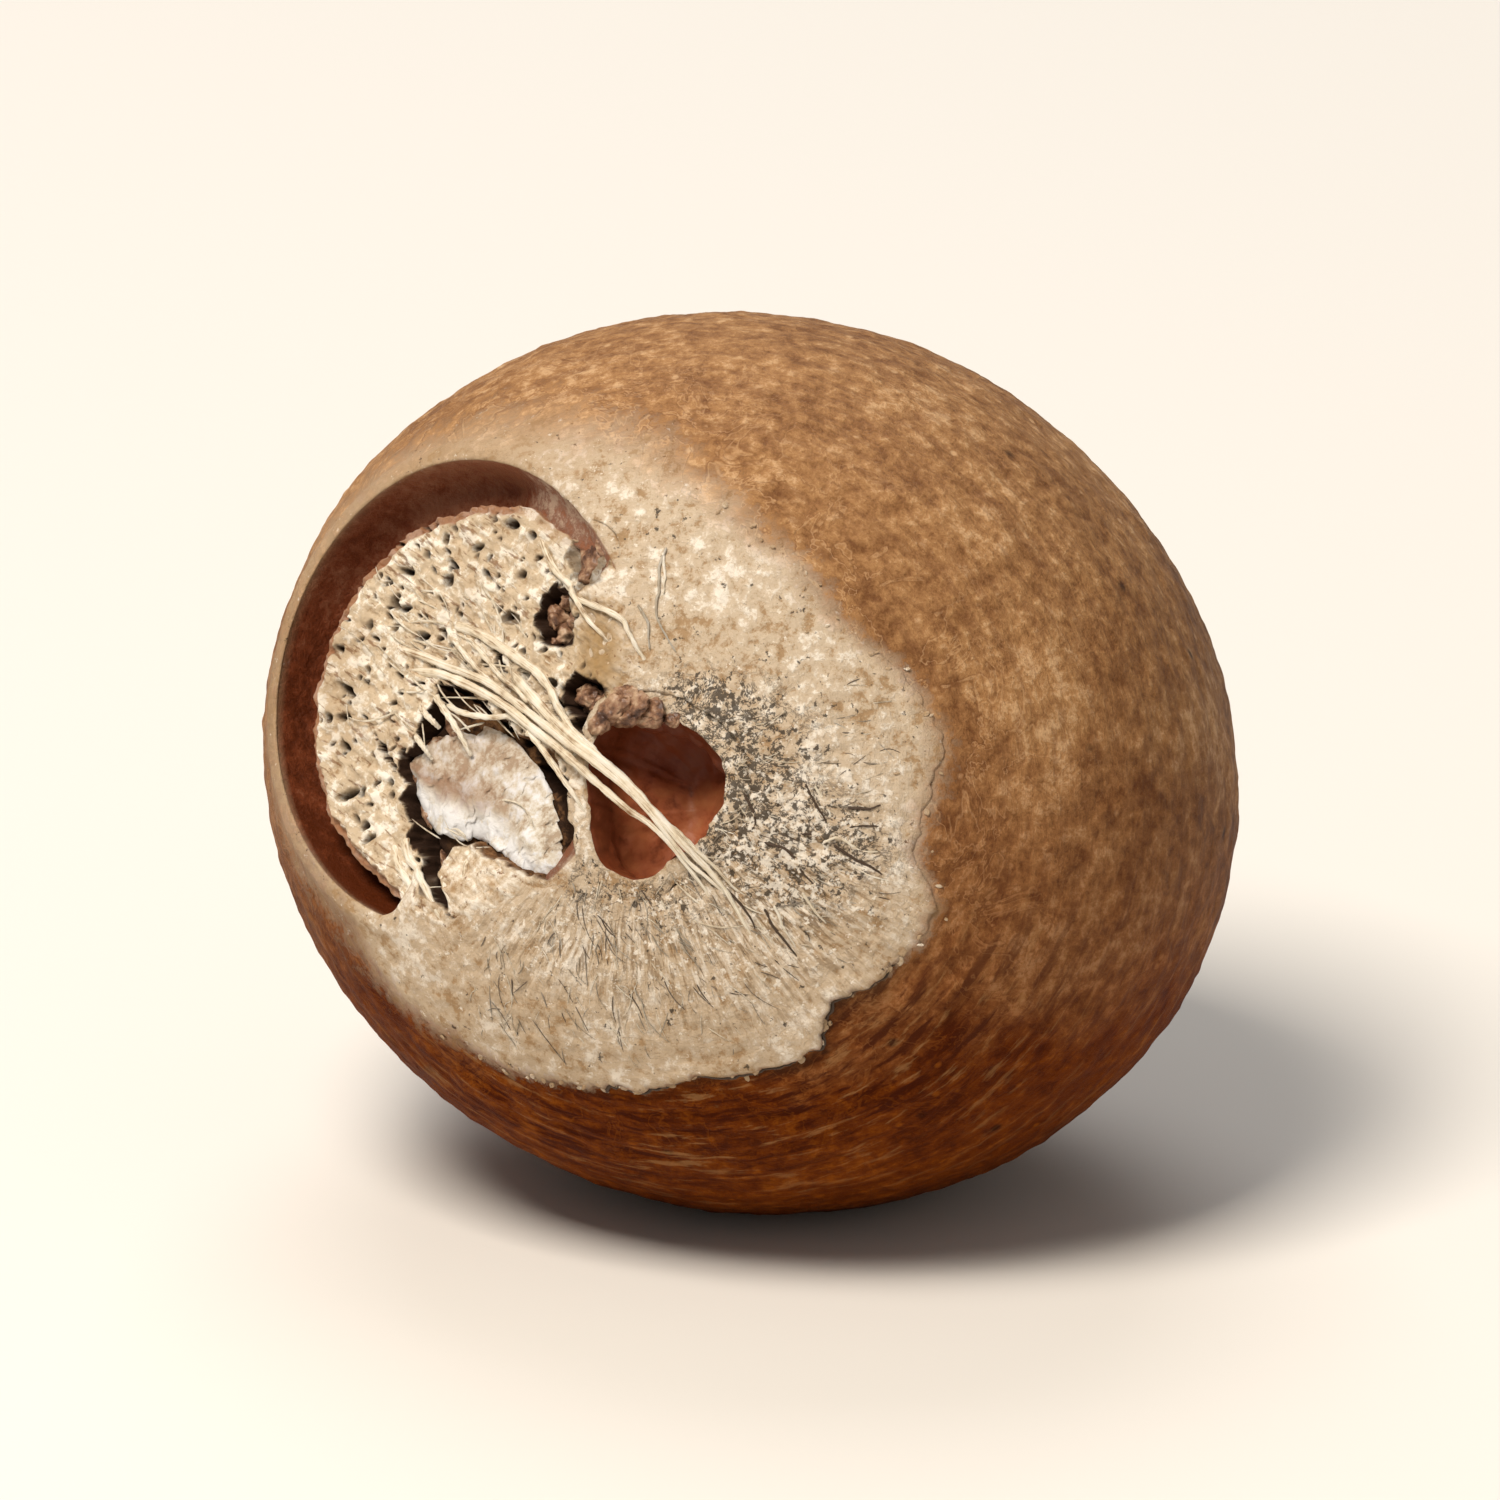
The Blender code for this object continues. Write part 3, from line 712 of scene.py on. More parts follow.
plug = {
    "sectors": 720,
    "rings": 118,
    "sideRings": 10,
    "floor": -2.2,  # where its side ends, under the scar's plane
    "overlap": 0.4,  # how far it runs over the membrane where there is no moat
    # noises as height, size and seed: the torn edge, what bends the cracks and the sunken
    # middle's rim, the sponge on top, the ragged rims of the pits as shares of their radii
    "tornEdge": ((0.1, 0.9, 31), (0.07, 0.35, 32), (0.04, 0.15, 33)),
    "wander": ((0.13, 0.5, 41), (0.07, 0.2, 42)),
    "sponge": ((0.1, 0.55, 44), (0.085, 0.24, 45)),
    "raggedPits": ((0.3, 0.6, 46), (0.14, 0.25, 47)),
    "rindWidth": 0.3,
    "rindDrop": 0.2,
    # the sunken middle: the outline of its rim and its depth
    "hollow": (
        (-1.5, -1), (-1, -0.2), (-0.7, 0.25), (0.2, 0), (1.1, -0.55), (2.1, -1.1), (3.1, -1.55),
        (3.75, -1.95), (4.25, -2.6), (4.45, -3.3), (4.5, -4.2), (4.35, -5), (4.1, -5.5),
        (3.4, -5.55), (2.4, -5.15), (1.5, -4.75), (0.8, -4.4), (0.15, -4.5), (-0.1, -4.9),
        (0.05, -5.4), (0.4, -6.2), (0.45, -6.8), (-0.1, -6.15), (-0.75, -5.5), (-1.05, -5.1),
        (-1, -4.75), (-1.45, -4.3), (-1.75, -3.9), (-1.5, -3.55), (-1.85, -3.2), (-2.05, -2.9),
        (-1.85, -2.5), (-2.2, -2), (-2.05, -1.6), (-1.7, -1.5),
    ),
    "hollowDepth": 0.6,
    # half its width, its depth, its path
    "cracks": (
        (0.13, 0.5, (
            (-2.1, -1.5), (-1.9, -1.9), (-1.75, -2.5), (-1.6, -3.1), (-1.5, -3.5), (-1.2, -4.1),
            (-1, -4.5), (-0.75, -5), (-0.4, -5.4), (0.1, -6.1), (0.35, -6.6),
        )),
        (0.14, 0.5, ((-1.55, -1.15), (-1.25, -0.75), (-0.9, -0.3))),
        (0.16, 0.55, (
            (-0.75, 0.25), (0.25, 0), (0.9, -0.4), (1.25, -0.75), (1.9, -1.1), (2.75, -1.75),
        )),
        (0.34, 0.7, ((2.9, -2), (3.2, -2.5), (4, -2.85), (4.3, -3.5), (4.45, -4.4), (4.2, -5.3))),
        (0.07, 0.45, ((-3.15, -1), (-2.7, -1.6), (-2.25, -2.15))),
        (0.06, 0.3, ((1.2, 1.15), (1.6, 0.8), (1.85, 0.45))),
        (0.08, 0.4, ((-1.2, -4.75), (-1.5, -4.9))),
    ),
    # x, y, its two radii, the turn of the longer one, its depth
    "pits": (
        (3.65, 1.95, 0.95, 0.75, 115, 0.75), (4.95, -0.45, 0.9, 0.6, -20, 0.75),
        (4.9, 3.5, 0.95, 0.8, -45, 0.35), (1.6, 0.8, 0.33, 0.14, -55, 0.5),
        (1.9, 2.05, 0.3, 0.22, 0, 0.3), (3.55, 0.05, 0.25, 0.13, 0, 0.4),
        (3.85, -0.65, 0.3, 0.13, -60, 0.5), (2.55, 0.4, 0.25, 0.1, -40, 0.3),
        (0.15, -3.85, 0.16, 0.25, 0, 0.5), (5.2, -1.25, 0.7, 0.3, -10, 0.6),
        (4.3, 5, 0.3, 0.15, -30, 0.25),
    ),
    "openPits": 3,  # the first of them reach through the membrane
    # the larger vessel pores: x, y, radius
    "pores": (
        (1.75, 4.75, 0.17), (0.5, 4.2, 0.15), (-0.4, 4.8, 0.12), (-0.75, 4.5, 0.13),
        (-2.2, 3.7, 0.16), (-0.45, 3.75, 0.15), (-0.6, 3.3, 0.17), (-2.6, 2.8, 0.17),
        (-2.2, 2.6, 0.14), (-1.5, 1.75, 0.16), (1.65, 2.1, 0.14), (-2.5, 2.05, 0.11),
        (-4.3, 0.4, 0.2), (-4.4, -0.4, 0.14), (-4.9, -0.4, 0.12), (-4.25, -1.2, 0.15),
        (-4.1, -2.65, 0.2), (-3.55, -2.6, 0.12), (-3.4, -3.6, 0.13), (-3.2, -4, 0.13),
        (-3.7, -3.4, 0.1), (-3.5, 0.9, 0.1), (2.6, 4.4, 0.12), (0.9, 3.4, 0.12), (2.2, 3.3, 0.12),
        (-3.5, 2.2, 0.12), (-4.6, 1.6, 0.12), (-3, -2.4, 0.1), (1.1, 5, 0.11), (-1.4, 4.1, 0.11),
        (-3.2, -3, 0.09),
    ),
    "strayPores": 140,
    "grainTurn": -33,  # which way the fibres run in the pith
}


def pitShare(x, y):
    # over 0 within the three largest pits and a little round them
    return np.max([
        1.25 - np.hypot(x - middleX, y - middleY) / long
        for middleX, middleY, long, *_ in plug["pits"][: plug["openPits"]]
    ], axis=0)


def plugEdge(turn):
    # the plug's outline: the moat's inner side, or a run over the membrane where there is none,
    # and short of the cavity
    openShare, rim = openness(turn), scar["radius"]
    torn = layered(circleAt(turn, 5.5), plug["tornEdge"])
    beside = rim - tableAt(scar["moat"], turn) - 0.1
    edge = beside * openShare + (rim + plug["overlap"]) * (1 - openShare)
    # the cavity's near side, by 60 trial distances along each of 720 rays
    ray = np.linspace(-math.pi, math.pi, 720)
    trial = np.linspace(3, rim + 1.5, 60)[:, None]
    inside = cavityInside(*spun(trial, ray)) > 0.02
    nearSide = np.where(inside.any(axis=0), trial[np.argmax(inside, axis=0), 0], 2 * rim)
    nearSide = np.interp(turn, ray, nearSide, period=math.tau)
    return np.minimum(edge + torn, nearSide - 0.12 + 0.5 * torn)


def plugHoles(x, y):
    # how deep each place lies in pores, exp(-(d / r)^4), and in pits, and the painted shade there
    holes = np.random.default_rng(20)
    depth, shade = np.zeros(x.shape), np.zeros(x.shape)
    ragged = 1 + layered(stacked(x, y), plug["raggedPits"])
    grain = math.radians(plug["grainTurn"] + 20)
    stray = []
    while len(stray) < plug["strayPores"]:
        # only above a line across the plug, which lies lower on its left
        strayX, strayY = holes.uniform(-6, 6, 2)
        line = 0.75 - 0.62 * (strayX + 1) - 4.4 * (strayX < -1.5)
        if np.hypot(strayX, strayY) < 5.3 and strayY > line:
            stray.append((strayX, strayY, holes.uniform(0.05, 0.1)))
    for number, (middleX, middleY, radius) in enumerate((*plug["pores"], *stray)):
        lean = grain + 0.7 * math.sin(number * 2.4)
        along, across = turned(x - middleX, y - middleY, lean)
        length = 1.25 + 0.45 * math.sin(number * 1.7)
        away = np.hypot(along / length, across * length) / radius
        depth = np.maximum(depth, 2.6 * radius * np.exp(-(away**4)))
        shade = np.maximum(shade, np.exp(-((away / 1.08) ** 4)))
    for middleX, middleY, long, short, lean, deep in plug["pits"]:
        along, across = turned(x - middleX, y - middleY, math.radians(lean))
        away = np.hypot(along / long, across / short) * ragged
        depth = np.maximum(depth, deep * (1 - smooth(0.7, 1.05, away)))
        shade = np.maximum(shade, min(1, 1.6 * deep) * (1 - smooth(1.02, 1.12, away)))
    return depth, shade


def plugTop(x, y):
    # the plug's top over the scar's plane, and what its material needs to know of each place
    out, turn = np.hypot(x, y), np.arctan2(y, x)
    flat, rim = stacked(x, y), scar["radius"]
    filled = 1 - openness(turn)
    wander = layered(flat, plug["wander"])
    inHollow = insideDistance(x + wander, y + wander, plug["hollow"])
    bottomFade = smooth(-6.5, -4.9, y + 0.25 * x)  # it runs out at the scar's lower end
    hollow = smooth(-0.02, 0.22, inHollow) * bottomFade
    along, across = turned(x, y, math.radians(plug["grainTurn"]))
    strands = 0.05 * noise(stacked(along, across / 0.2), 1, 43)
    spongy = layered(flat, plug["sponge"]) + strands
    crack = np.zeros(x.shape)
    for wide, deep, path in plug["cracks"]:
        distance, place = pathDistance(x + wander, y + wander, path)
        narrowing = wide * (0.45 + 0.55 * np.sin(math.pi * place))
        crack = np.maximum(crack, deep * np.exp(-((distance / narrowing) ** 4)))
    holes, shade = plugHoles(x + 0.4 * wander, y + 0.4 * wander)
    # painted shade: the left end of the sunken middle, and the cracks, are painted dark
    leftEnd = smooth(-0.04, 0.02, inHollow) * (1 - smooth(-0.9, 0.3, x)) * smooth(-6.2, -5.6, y)
    shade = np.max((shade, smooth(0.01, 0.06, crack), leftEnd), axis=0)
    inward = plugEdge(turn) - out
    rind = (1 - smooth(plug["rindWidth"] * 0.6, plug["rindWidth"], inward)) * (1 - filled)
    rind = rind * (0.25 + 0.75 * smooth(0.25, 0.9, tableAt(scar["moat"], turn, 2)))
    # it swells beside the moat, and where there is none it thins out over the membrane
    swell = 0.05 * (1 - smooth(0.3, 1.2, inward)) * (1 - filled)
    over = 0.07 * (1 - smooth(rim - 0.7, rim + 0.2, out))
    over = over - 0.16 * smooth(rim - 0.4, rim + plug["overlap"], out)
    level = bedLevel(x, y) + swell + (membrane["thickness"] + over) * filled
    level = level + spongy * (1 - 0.5 * hollow) - plug["rindDrop"] * rind
    level = level - plug["hollowDepth"] * hollow - np.maximum(crack, holes)
    # it merges with the membrane at the lower end and where there is no moat
    merge = smooth(-4.2, -5.4, y + 2 * wander) * smooth(-0.8, 0.6, x)
    return level, {
        "dark": shade,
        "hollow": smooth(-0.03, 0.06, inHollow) * bottomFade,
        "golden": np.exp(-(((x - 5.5) / 1.0) ** 2) - ((y - 0.7) / 1.6) ** 2),
        "rind": rind,
        "merge": np.maximum(merge, filled * smooth(4.6, 6.4, out + 3 * wander)),
        "speckle": patchShare(onScar(x, y, level), membrane["speckled"]),
        "fibreRun": stacked(along, across, level),
    }


def makePlug(material):
    # rings from the middle out; at the edge the side turns under, slopes in a little and ends
    # below the moat's floor
    turn = evenTurns(plug["sectors"])
    edge = plugEdge(turn)
    distance = (1 - (1 - shares(plug["rings"])) ** 1.06) * edge
    x, y = spun(distance, turn)
    level, marks = plugTop(x, y)
    down = shares(plug["sideRings"])
    sideOut = edge - 0.6 * down**2 + 0.03 * np.sin(down * math.pi)
    sideLevel = level[-1] + (plug["floor"] - level[-1]) * down**1.2
    side = onScar(*spun(sideOut, turn), sideLevel)
    rings = np.concatenate((onScar(x, y, level), side))
    marks = {
        name: np.concatenate((values, np.repeat(values[-1:], len(down), axis=0)))
        for name, values in marks.items()
    }
    marks["rind"][-len(down) :] = openness(turn)
    addPiece("pithPlug", [closedShell(rings, **marks)], material)


def makeCavity(wallMaterial, membraneMaterial):
    # a cup: its profile runs up the wall, which is wider than the opening and has a shelf on one
    # side, over the rim, out along a thin flange and back underneath
    turn, deep, wallRings = evenTurns(cavity["sectors"]), cavity["depth"], cavity["wallRings"]
    radius = cavityRadius(turn)
    middle, halfArc, reach = cavity["shelf"]
    off = np.abs((np.degrees(turn) - middle + 180) % 360 - 180)
    shelf = 1 - smooth(halfArc * 0.75, halfArc * 1.15, off)
    tip = reach * (1 + 0.25 * noise(circleAt(turn, 2), 0.8, 51))
    profile = np.array([
        (wide * radius - shelf * (less + ragged * tip), rise - drop * deep + 0 * turn)
        for wide, less, ragged, drop, rise in cavity["profile"]
    ])
    profile[5, 1] -= 0.05 * shelf  # its tip hangs a little
    wall = curveThrough(profile.transpose(0, 2, 1).reshape(len(profile), -1), wallRings)
    wall = wall.reshape(wallRings, -1, 2)
    share = shares(cavity["flangeRings"])
    width = cavity["flange"] * (1 + 0.3 * noise(circleAt(turn, 2.5), 0.5, 52))
    flangeLevel = 0.1 * (1 - smooth(0.35, 1, share)) - 0.03 * share + 0 * turn
    outerOut = np.stack((radius + 0.5 * width, radius + 0.25, 1.1 * radius, 0.5 * radius))
    outerLevel = np.array((-0.3, -1.2, -deep - 0.3, -deep - 0.45))[:, None] + 0 * turn
    away = np.concatenate((wall[..., 0], radius + share * width, outerOut))
    level = np.concatenate((wall[..., 1], flangeLevel, outerLevel))
    x, y = np.add(np.array(cavity["centre"])[:, None, None], spun(away, turn))
    # the cup hangs from the bed's level at its rim
    rimLevel = bedLevel(*np.add(np.array(cavity["centre"])[:, None], spun(radius + 0.1, turn)))
    meanLevel = rimLevel.mean()
    base = meanLevel + (rimLevel - meanLevel) * smooth(0.3, 1, away / radius)
    base[wallRings:-4] = bedLevel(x[wallRings:-4], y[wallRings:-4])
    rings = onScar(x, y, base + level)
    rough = layered(rings, cavity["rough"])
    relief = 0.03 * noise(rings, 0.25, 55)
    relief[: wallRings - 3] = rough[: wallRings - 3]
    rings = rings + outwards(rings) * relief[..., None]
    upper = smooth(-3.1, -2.2, y + 2 * rough)
    piece = addPiece("embryoCavity", [closedShell(
        rings, pastEdge=-5, softness=0, speckle=patchShare(rings, membrane["speckled"]),
        depth=rimLevel - base - level, flow=poleFlow(rings),
        shelf=np.maximum(shelf * smooth(-deep * 0.8, -deep * 0.5, level), upper),
    )], wallMaterial)
    # from the rim on it looks as the membrane does
    piece.data.materials.append(membraneMaterial)
    looks = np.zeros(len(piece.data.polygons), np.int32)
    looks[(wallRings - 2) * len(turn) : (len(rings) - 1) * len(turn)] = 1
    piece.data.polygons.foreach_set("material_index", looks)


# Husk fibres over the scar. Each path is x, y and lift over the bed, in millimetres.
fibres = {
    "steps": 90,
    "sides": 12,
    "girth": 0.76,
    # radius at its thickest, radius at its far end, path; the last four are torn strips over the
    # moat's lower end
    "bundle": (
        (0.17, 0.07, (
            (2.16, 0.45, 0.2), (2.79, -0.06, 0.32), (3.5, -0.64, 0.42), (4.21, -1.19, 0.5),
            (5.12, -1.76, 0.55), (5.83, -2.24, 0.6), (6.36, -2.72, 0.6), (6.81, -3.23, 0.6),
            (7.24, -3.77, 0.58), (7.59, -4.24, 0.55), (7.88, -4.67, 0.5), (8.14, -5.08, 0.4),
            (8.36, -5.43, 0.3), (8.57, -5.84, 0.2), (8.7, -6.33, 0.13), (8.81, -6.81, 0.06),
            (8.88, -7.19, 0),
        )),
        (0.15, 0.06, (
            (-1.98, 0.81, -0.1), (-0.75, 0.62, 0.05), (0.05, 0.36, 0.15), (0.95, 0.01, 0.25),
            (1.85, -0.4, 0.35), (2.52, -0.77, 0.42), (3.19, -1.2, 0.48), (3.93, -1.66, 0.5),
            (4.7, -2.11, 0.52), (5.32, -2.54, 0.55), (5.75, -2.97, 0.55), (6.21, -3.41, 0.55),
            (6.6, -3.76, 0.55), (6.99, -4.05, 0.55), (7.31, -4.38, 0.52), (7.54, -4.73, 0.45),
            (7.71, -5.15, 0.32), (7.89, -5.53, 0.2), (8.01, -5.84, 0.1), (8.07, -6.15, 0),
        )),
        (0.13, 0.06, (
            (-2.62, 1.55, -0.1), (-1.47, 1.19, 0.05), (-0.37, 0.8, 0.15), (0.52, 0.51, 0.25),
            (1.42, 0.17, 0.35), (2.12, -0.19, 0.45), (2.88, -0.65, 0.5), (3.64, -1.12, 0.55),
            (4.48, -1.61, 0.6), (5.4, -2.13, 0.65), (5.98, -2.58, 0.65), (6.51, -3.05, 0.65),
            (6.96, -3.56, 0.65), (7.36, -4.14, 0.6), (7.65, -4.67, 0.5), (7.89, -5.19, 0.35),
            (8.19, -5.53, 0.25), (8.45, -5.87, 0.12), (8.66, -6.14, 0),
        )),
        (0.1, 0.09, (
            (-0.53, -0.28, -0.1), (0.26, -0.58, 0.1), (0.9, -0.72, 0.15), (1.54, -0.81, 0.2),
            (2.21, -0.84, 0.28), (2.88, -1.2, 0.35), (3.54, -1.7, 0.4),
        )),
        (0.11, 0.05, (
            (3, -1.35, 0.42), (3.23, -1.49, 0.4), (3.75, -2.04, 0.38), (4.38, -2.63, 0.35),
            (4.83, -3.2, 0.25), (5.04, -3.64, 0.12), (5.1, -3.9, -0.1),
        )),
        (0.16, 0.12, (
            (-0.36, 2.01, -0.1), (0.48, 1.77, 0.05), (1.25, 1.42, 0.12), (2.02, 1.02, 0.18),
            (2.71, 0.64, 0.22), (3.3, 0.26, 0.25), (3.77, -0.23, 0.3), (4.14, -0.75, 0.35),
            (4.66, -1.26, 0.42), (5.32, -1.73, 0.5), (5.88, -2.16, 0.55),
        )),
        (0.09, 0.07, (
            (-0.49, 1.71, -0.1), (0.14, 1.2, 0.08), (0.72, 0.7, 0.15), (1.33, 0.27, 0.25),
            (1.93, -0.16, 0.35),
        )),
        (0.09, 0.08, (
            (0, 1.72, -0.1), (0.73, 1.23, 0.08), (1.31, 0.73, 0.15), (1.79, 0.32, 0.22),
            (2.38, -0.03, 0.3), (2.98, -0.5, 0.4),
        )),
        (0.1, 0.08, (
            (2.26, 0.22, 0.18), (2.73, -0.16, 0.25), (3.19, -0.62, 0.35), (3.75, -1.04, 0.45),
        )),
        (0.12, 0.08, (
            (-1, 0.05, -0.1), (-0.45, -0.43, 0.1), (-0.03, -0.87, 0.15), (0.3, -1.34, 0.1),
            (0.45, -1.81, -0.15),
        )),
        (0.11, 0.08, (
            (-1.58, -0.22, -0.1), (-1.15, -0.53, 0.08), (-0.87, -0.77, 0.05),
            (-0.79, -0.94, -0.15),
        )),
        (0.1, 0.05, (
            (-1.73, -1.04, -0.1), (-1.3, -1.35, 0.08), (-1.09, -1.62, 0.02), (-1.03, -1.83, -0.15),
        )),
        (0.08, 0.04, (
            (7.57, -4.13, 0.5), (7.91, -4.51, 0.45), (8.2, -4.93, 0.35), (8.47, -5.31, 0.22),
            (8.72, -5.76, 0.1), (8.88, -5.99, 0),
        )),
        (0.1, 0.06, (
            (3.35, 3.4, -0.1), (3.93, 2.85, -0.05), (4.63, 2.41, 0.1), (5.62, 2.06, 0.25),
            (6.36, 1.71, 0.28), (6.56, 1.35, 0.25), (6.72, 0.99, 0.2), (6.89, 0.57, 0.05),
            (6.95, 0.39, -0.08),
        )),
        (0.11, 0.06, (
            (2.7, 4.5, -0.12), (3.1, 3.85, 0), (3.6, 3.26, 0.08), (4.32, 2.73, 0.15),
            (4.9, 2.15, 0.22), (5.27, 1.71, 0.22), (5.76, 1.25, 0.15), (5.86, 1, -0.08),
        )),
        (0.16, 0.09, (
            (-1.9, -4, -0.1), (-1.6, -4.6, 0.05), (-1, -5.1, 0.12), (-0.5, -5.6, 0.1),
            (-0.1, -6.3, 0.02), (0.1, -6.8, -0.1),
        )),
        (0.13, 0.07, (
            (-2.3, -4.2, -0.1), (-2, -4.8, 0.02), (-1.6, -5.3, 0.05), (-1.2, -5.9, -0.05),
            (-0.7, -6.5, -0.1), (-0.5, -7, -0.1),
        )),
        (0.1, 0.06, ((0, -4.5, -0.15), (0, -5.1, 0.05), (0.25, -5.7, 0.08), (0.5, -6.3, -0.02))),
        (0.09, 0.05, ((0.9, -4.4, -0.15), (0.8, -5, 0.04), (1, -5.6, 0.06), (1.15, -6.1, -0.05))),
    ),
}


def fibreShell(path, thick, thin, seed, steps, sides, **marks):
    # a tube along the path: its ring is a little flat, with three ridges that twist along it, and
    # its radius wanders by noise and goes from thick to thin, with pointed ends
    x, y, lift = curveThrough(path, steps).T
    line = onScar(x, y, bedLevel(x, y) + lift)
    ahead = unit(np.gradient(line, axis=0))
    side = unit(np.cross(ahead, scarNormal))
    rise = np.cross(side, ahead)
    share = np.linspace(0, 1, steps)
    ends = np.sqrt(np.clip(np.minimum(share, 1 - share) * 40, 0.05, 1))
    wander = 1 + 0.25 * noise(stacked(share * len(path) * 2, seed), 1, seed)
    radius = (thick + (thin - thick) * smooth(0.3, 1, share)) * ends * wander
    angle = evenTurns(sides)
    across = np.cos(angle)[:, None] * side[:, None] * 1.15
    across = across + np.sin(angle)[:, None] * rise[:, None] * 0.85
    ridges = 1 + 0.12 * np.sin(angle * 3 + share[:, None] * 40 + seed)
    rings = line[:, None] + across * (radius[:, None] * ridges)[..., None]
    run = stacked(share[:, None] * 30, angle, seed)
    return closedShell(rings, (line[0], line[-1]), fibreRun=run, **marks)


def makeFibres(material):
    girth = fibres["girth"]
    addPiece("fibreBundle", [
        fibreShell(path, thick * girth, thin * girth, number, fibres["steps"], fibres["sides"])
        for number, (thick, thin, path) in enumerate(fibres["bundle"])
    ], material)


hairs = {
    "count": 170,
    "steps": 14,
    "sides": 6,
    "length": (0.5, 2.2),
    "thick": (0.014, 0.034),
    # where they may start: x, y, radius and share of them
    "fields": (
        (-1.8, 2.0, 2.6, 0.24), (1.6, 0.6, 2.2, 0.26), (4.0, 1.9, 1.5, 0.18),
        (0.6, -5.0, 1.6, 0.08), (5.4, -0.5, 1.4, 0.12), (8.3, -6.0, 1.1, 0.12),
    ),
}


def makeHairs(material):
    # short bent fibres along the grain, either way round, that rise from the pith in an arch
    pick = np.random.default_rng(7)
    share, shells = np.linspace(0, 1, 5), []
    for middleX, middleY, reach, part in hairs["fields"]:
        for number in range(round(hairs["count"] * part)):
            lean = math.radians(plug["grainTurn"] + pick.normal(0, 22) + 180 * (number % 2))
            length = pick.uniform(*hairs["length"])
            startX = middleX + pick.normal(0, reach / 2)
            startY = middleY + pick.normal(0, reach / 2)
            bend, arch = pick.normal(0, 0.08), pick.uniform(0.02, 0.12)
            start = pick.uniform(-0.1, 0.02)
            forward, sideways = turned(share, bend * np.sin(share * 3), -lean)
            x, y = startX + length * forward, startY + length * sideways
            # not off the plug, into the cavity or over a pit
            overPlug = np.hypot(x, y) < np.where(openness(np.arctan2(y, x)) > 0.5, 5.2, 6.6)
            offPlug = middleX < 7 and not overPlug.all()
            if cavityInside(x, y).max() > 0 or offPlug or pitShare(x, y).max() > 0:
                continue
            lift = start + arch * np.sin(math.pi * share) + 0.05 * share
            thick = pick.uniform(*hairs["thick"])
            shells.append(fibreShell(
                stacked(x, y, lift), thick, thick / 2, number, hairs["steps"], hairs["sides"],
            ))
    addPiece("fineHairs", shells, material)


flap = {
    "rows": 150,
    "columns": 56,
    "thickness": 0.05,
    # x, y and lift along its upper and lower edges
    "upper": (
        (-1.95, -1.62, -0.45), (-1.1, -1.25, -0.42), (-0.17, -1.09, -0.4), (0.72, -1.03, -0.38),
        (1.64, -1.28, -0.36), (2.31, -1.77, -0.34), (2.83, -2.26, -0.34), (3.25, -2.84, -0.36),
        (3.68, -3.57, -0.38), (3.95, -4.4, -0.4), (4, -5.3, -0.45),
    ),
    "lower": (
        (-1.95, -2.3, -0.45), (-1.65, -3, -0.42), (-1.3, -3.6, -0.38), (-0.5, -4.05, -0.32),
        (0.17, -4.2, -0.3), (0.8, -4.2, -0.28), (1.5, -4.5, -0.28), (2.2, -4.95, -0.28),
        (2.85, -5.35, -0.3), (3.4, -5.65, -0.34), (3.85, -5.8, -0.42),
    ),
    "crown": 0.22,
    # noises as height, size and seed: its torn edges and its folds
    "torn": ((0.16, 0.6, 61), (0.12, 0.22, 62)),
    "folds": ((0.09, 0.55, 64), (0.05, 0.26, 65)),
}


def makeFlap(material):
    # rows along it; each ring runs over the top from the lower to the upper edge and back
    # underneath, the top lifted by a crown and by folds
    lower = curveThrough(flap["lower"], flap["rows"])
    upper = curveThrough(flap["upper"], flap["rows"])
    share, isTop = overAndUnder(flap["columns"])
    along = np.linspace(0, 1, flap["rows"])[:, None]
    x, y, lift = np.moveaxis(lower[:, None] + share[:, None] * (upper - lower)[:, None], -1, 0)
    flat = stacked(x, y)
    torn = layered(flat, flap["torn"])
    x, y = x + torn, y - torn
    crown = np.sin(math.pi * share) ** 0.8 * np.sin(math.pi * np.clip(along, 0.02, 0.98)) ** 0.5
    folds = 0.14 * noise(stacked(along * 8, share * 1.2), 1, 63) + layered(flat, flap["folds"])
    thickness = np.where(isTop, 0, flap["thickness"] * np.sin(math.pi * share) + 0.02)
    rings = onScar(x, y, bedLevel(x, y) + lift + flap["crown"] * crown + folds - thickness)
    addPiece("centralFlap", [closedShell(rings, across=share, along=along)], material)


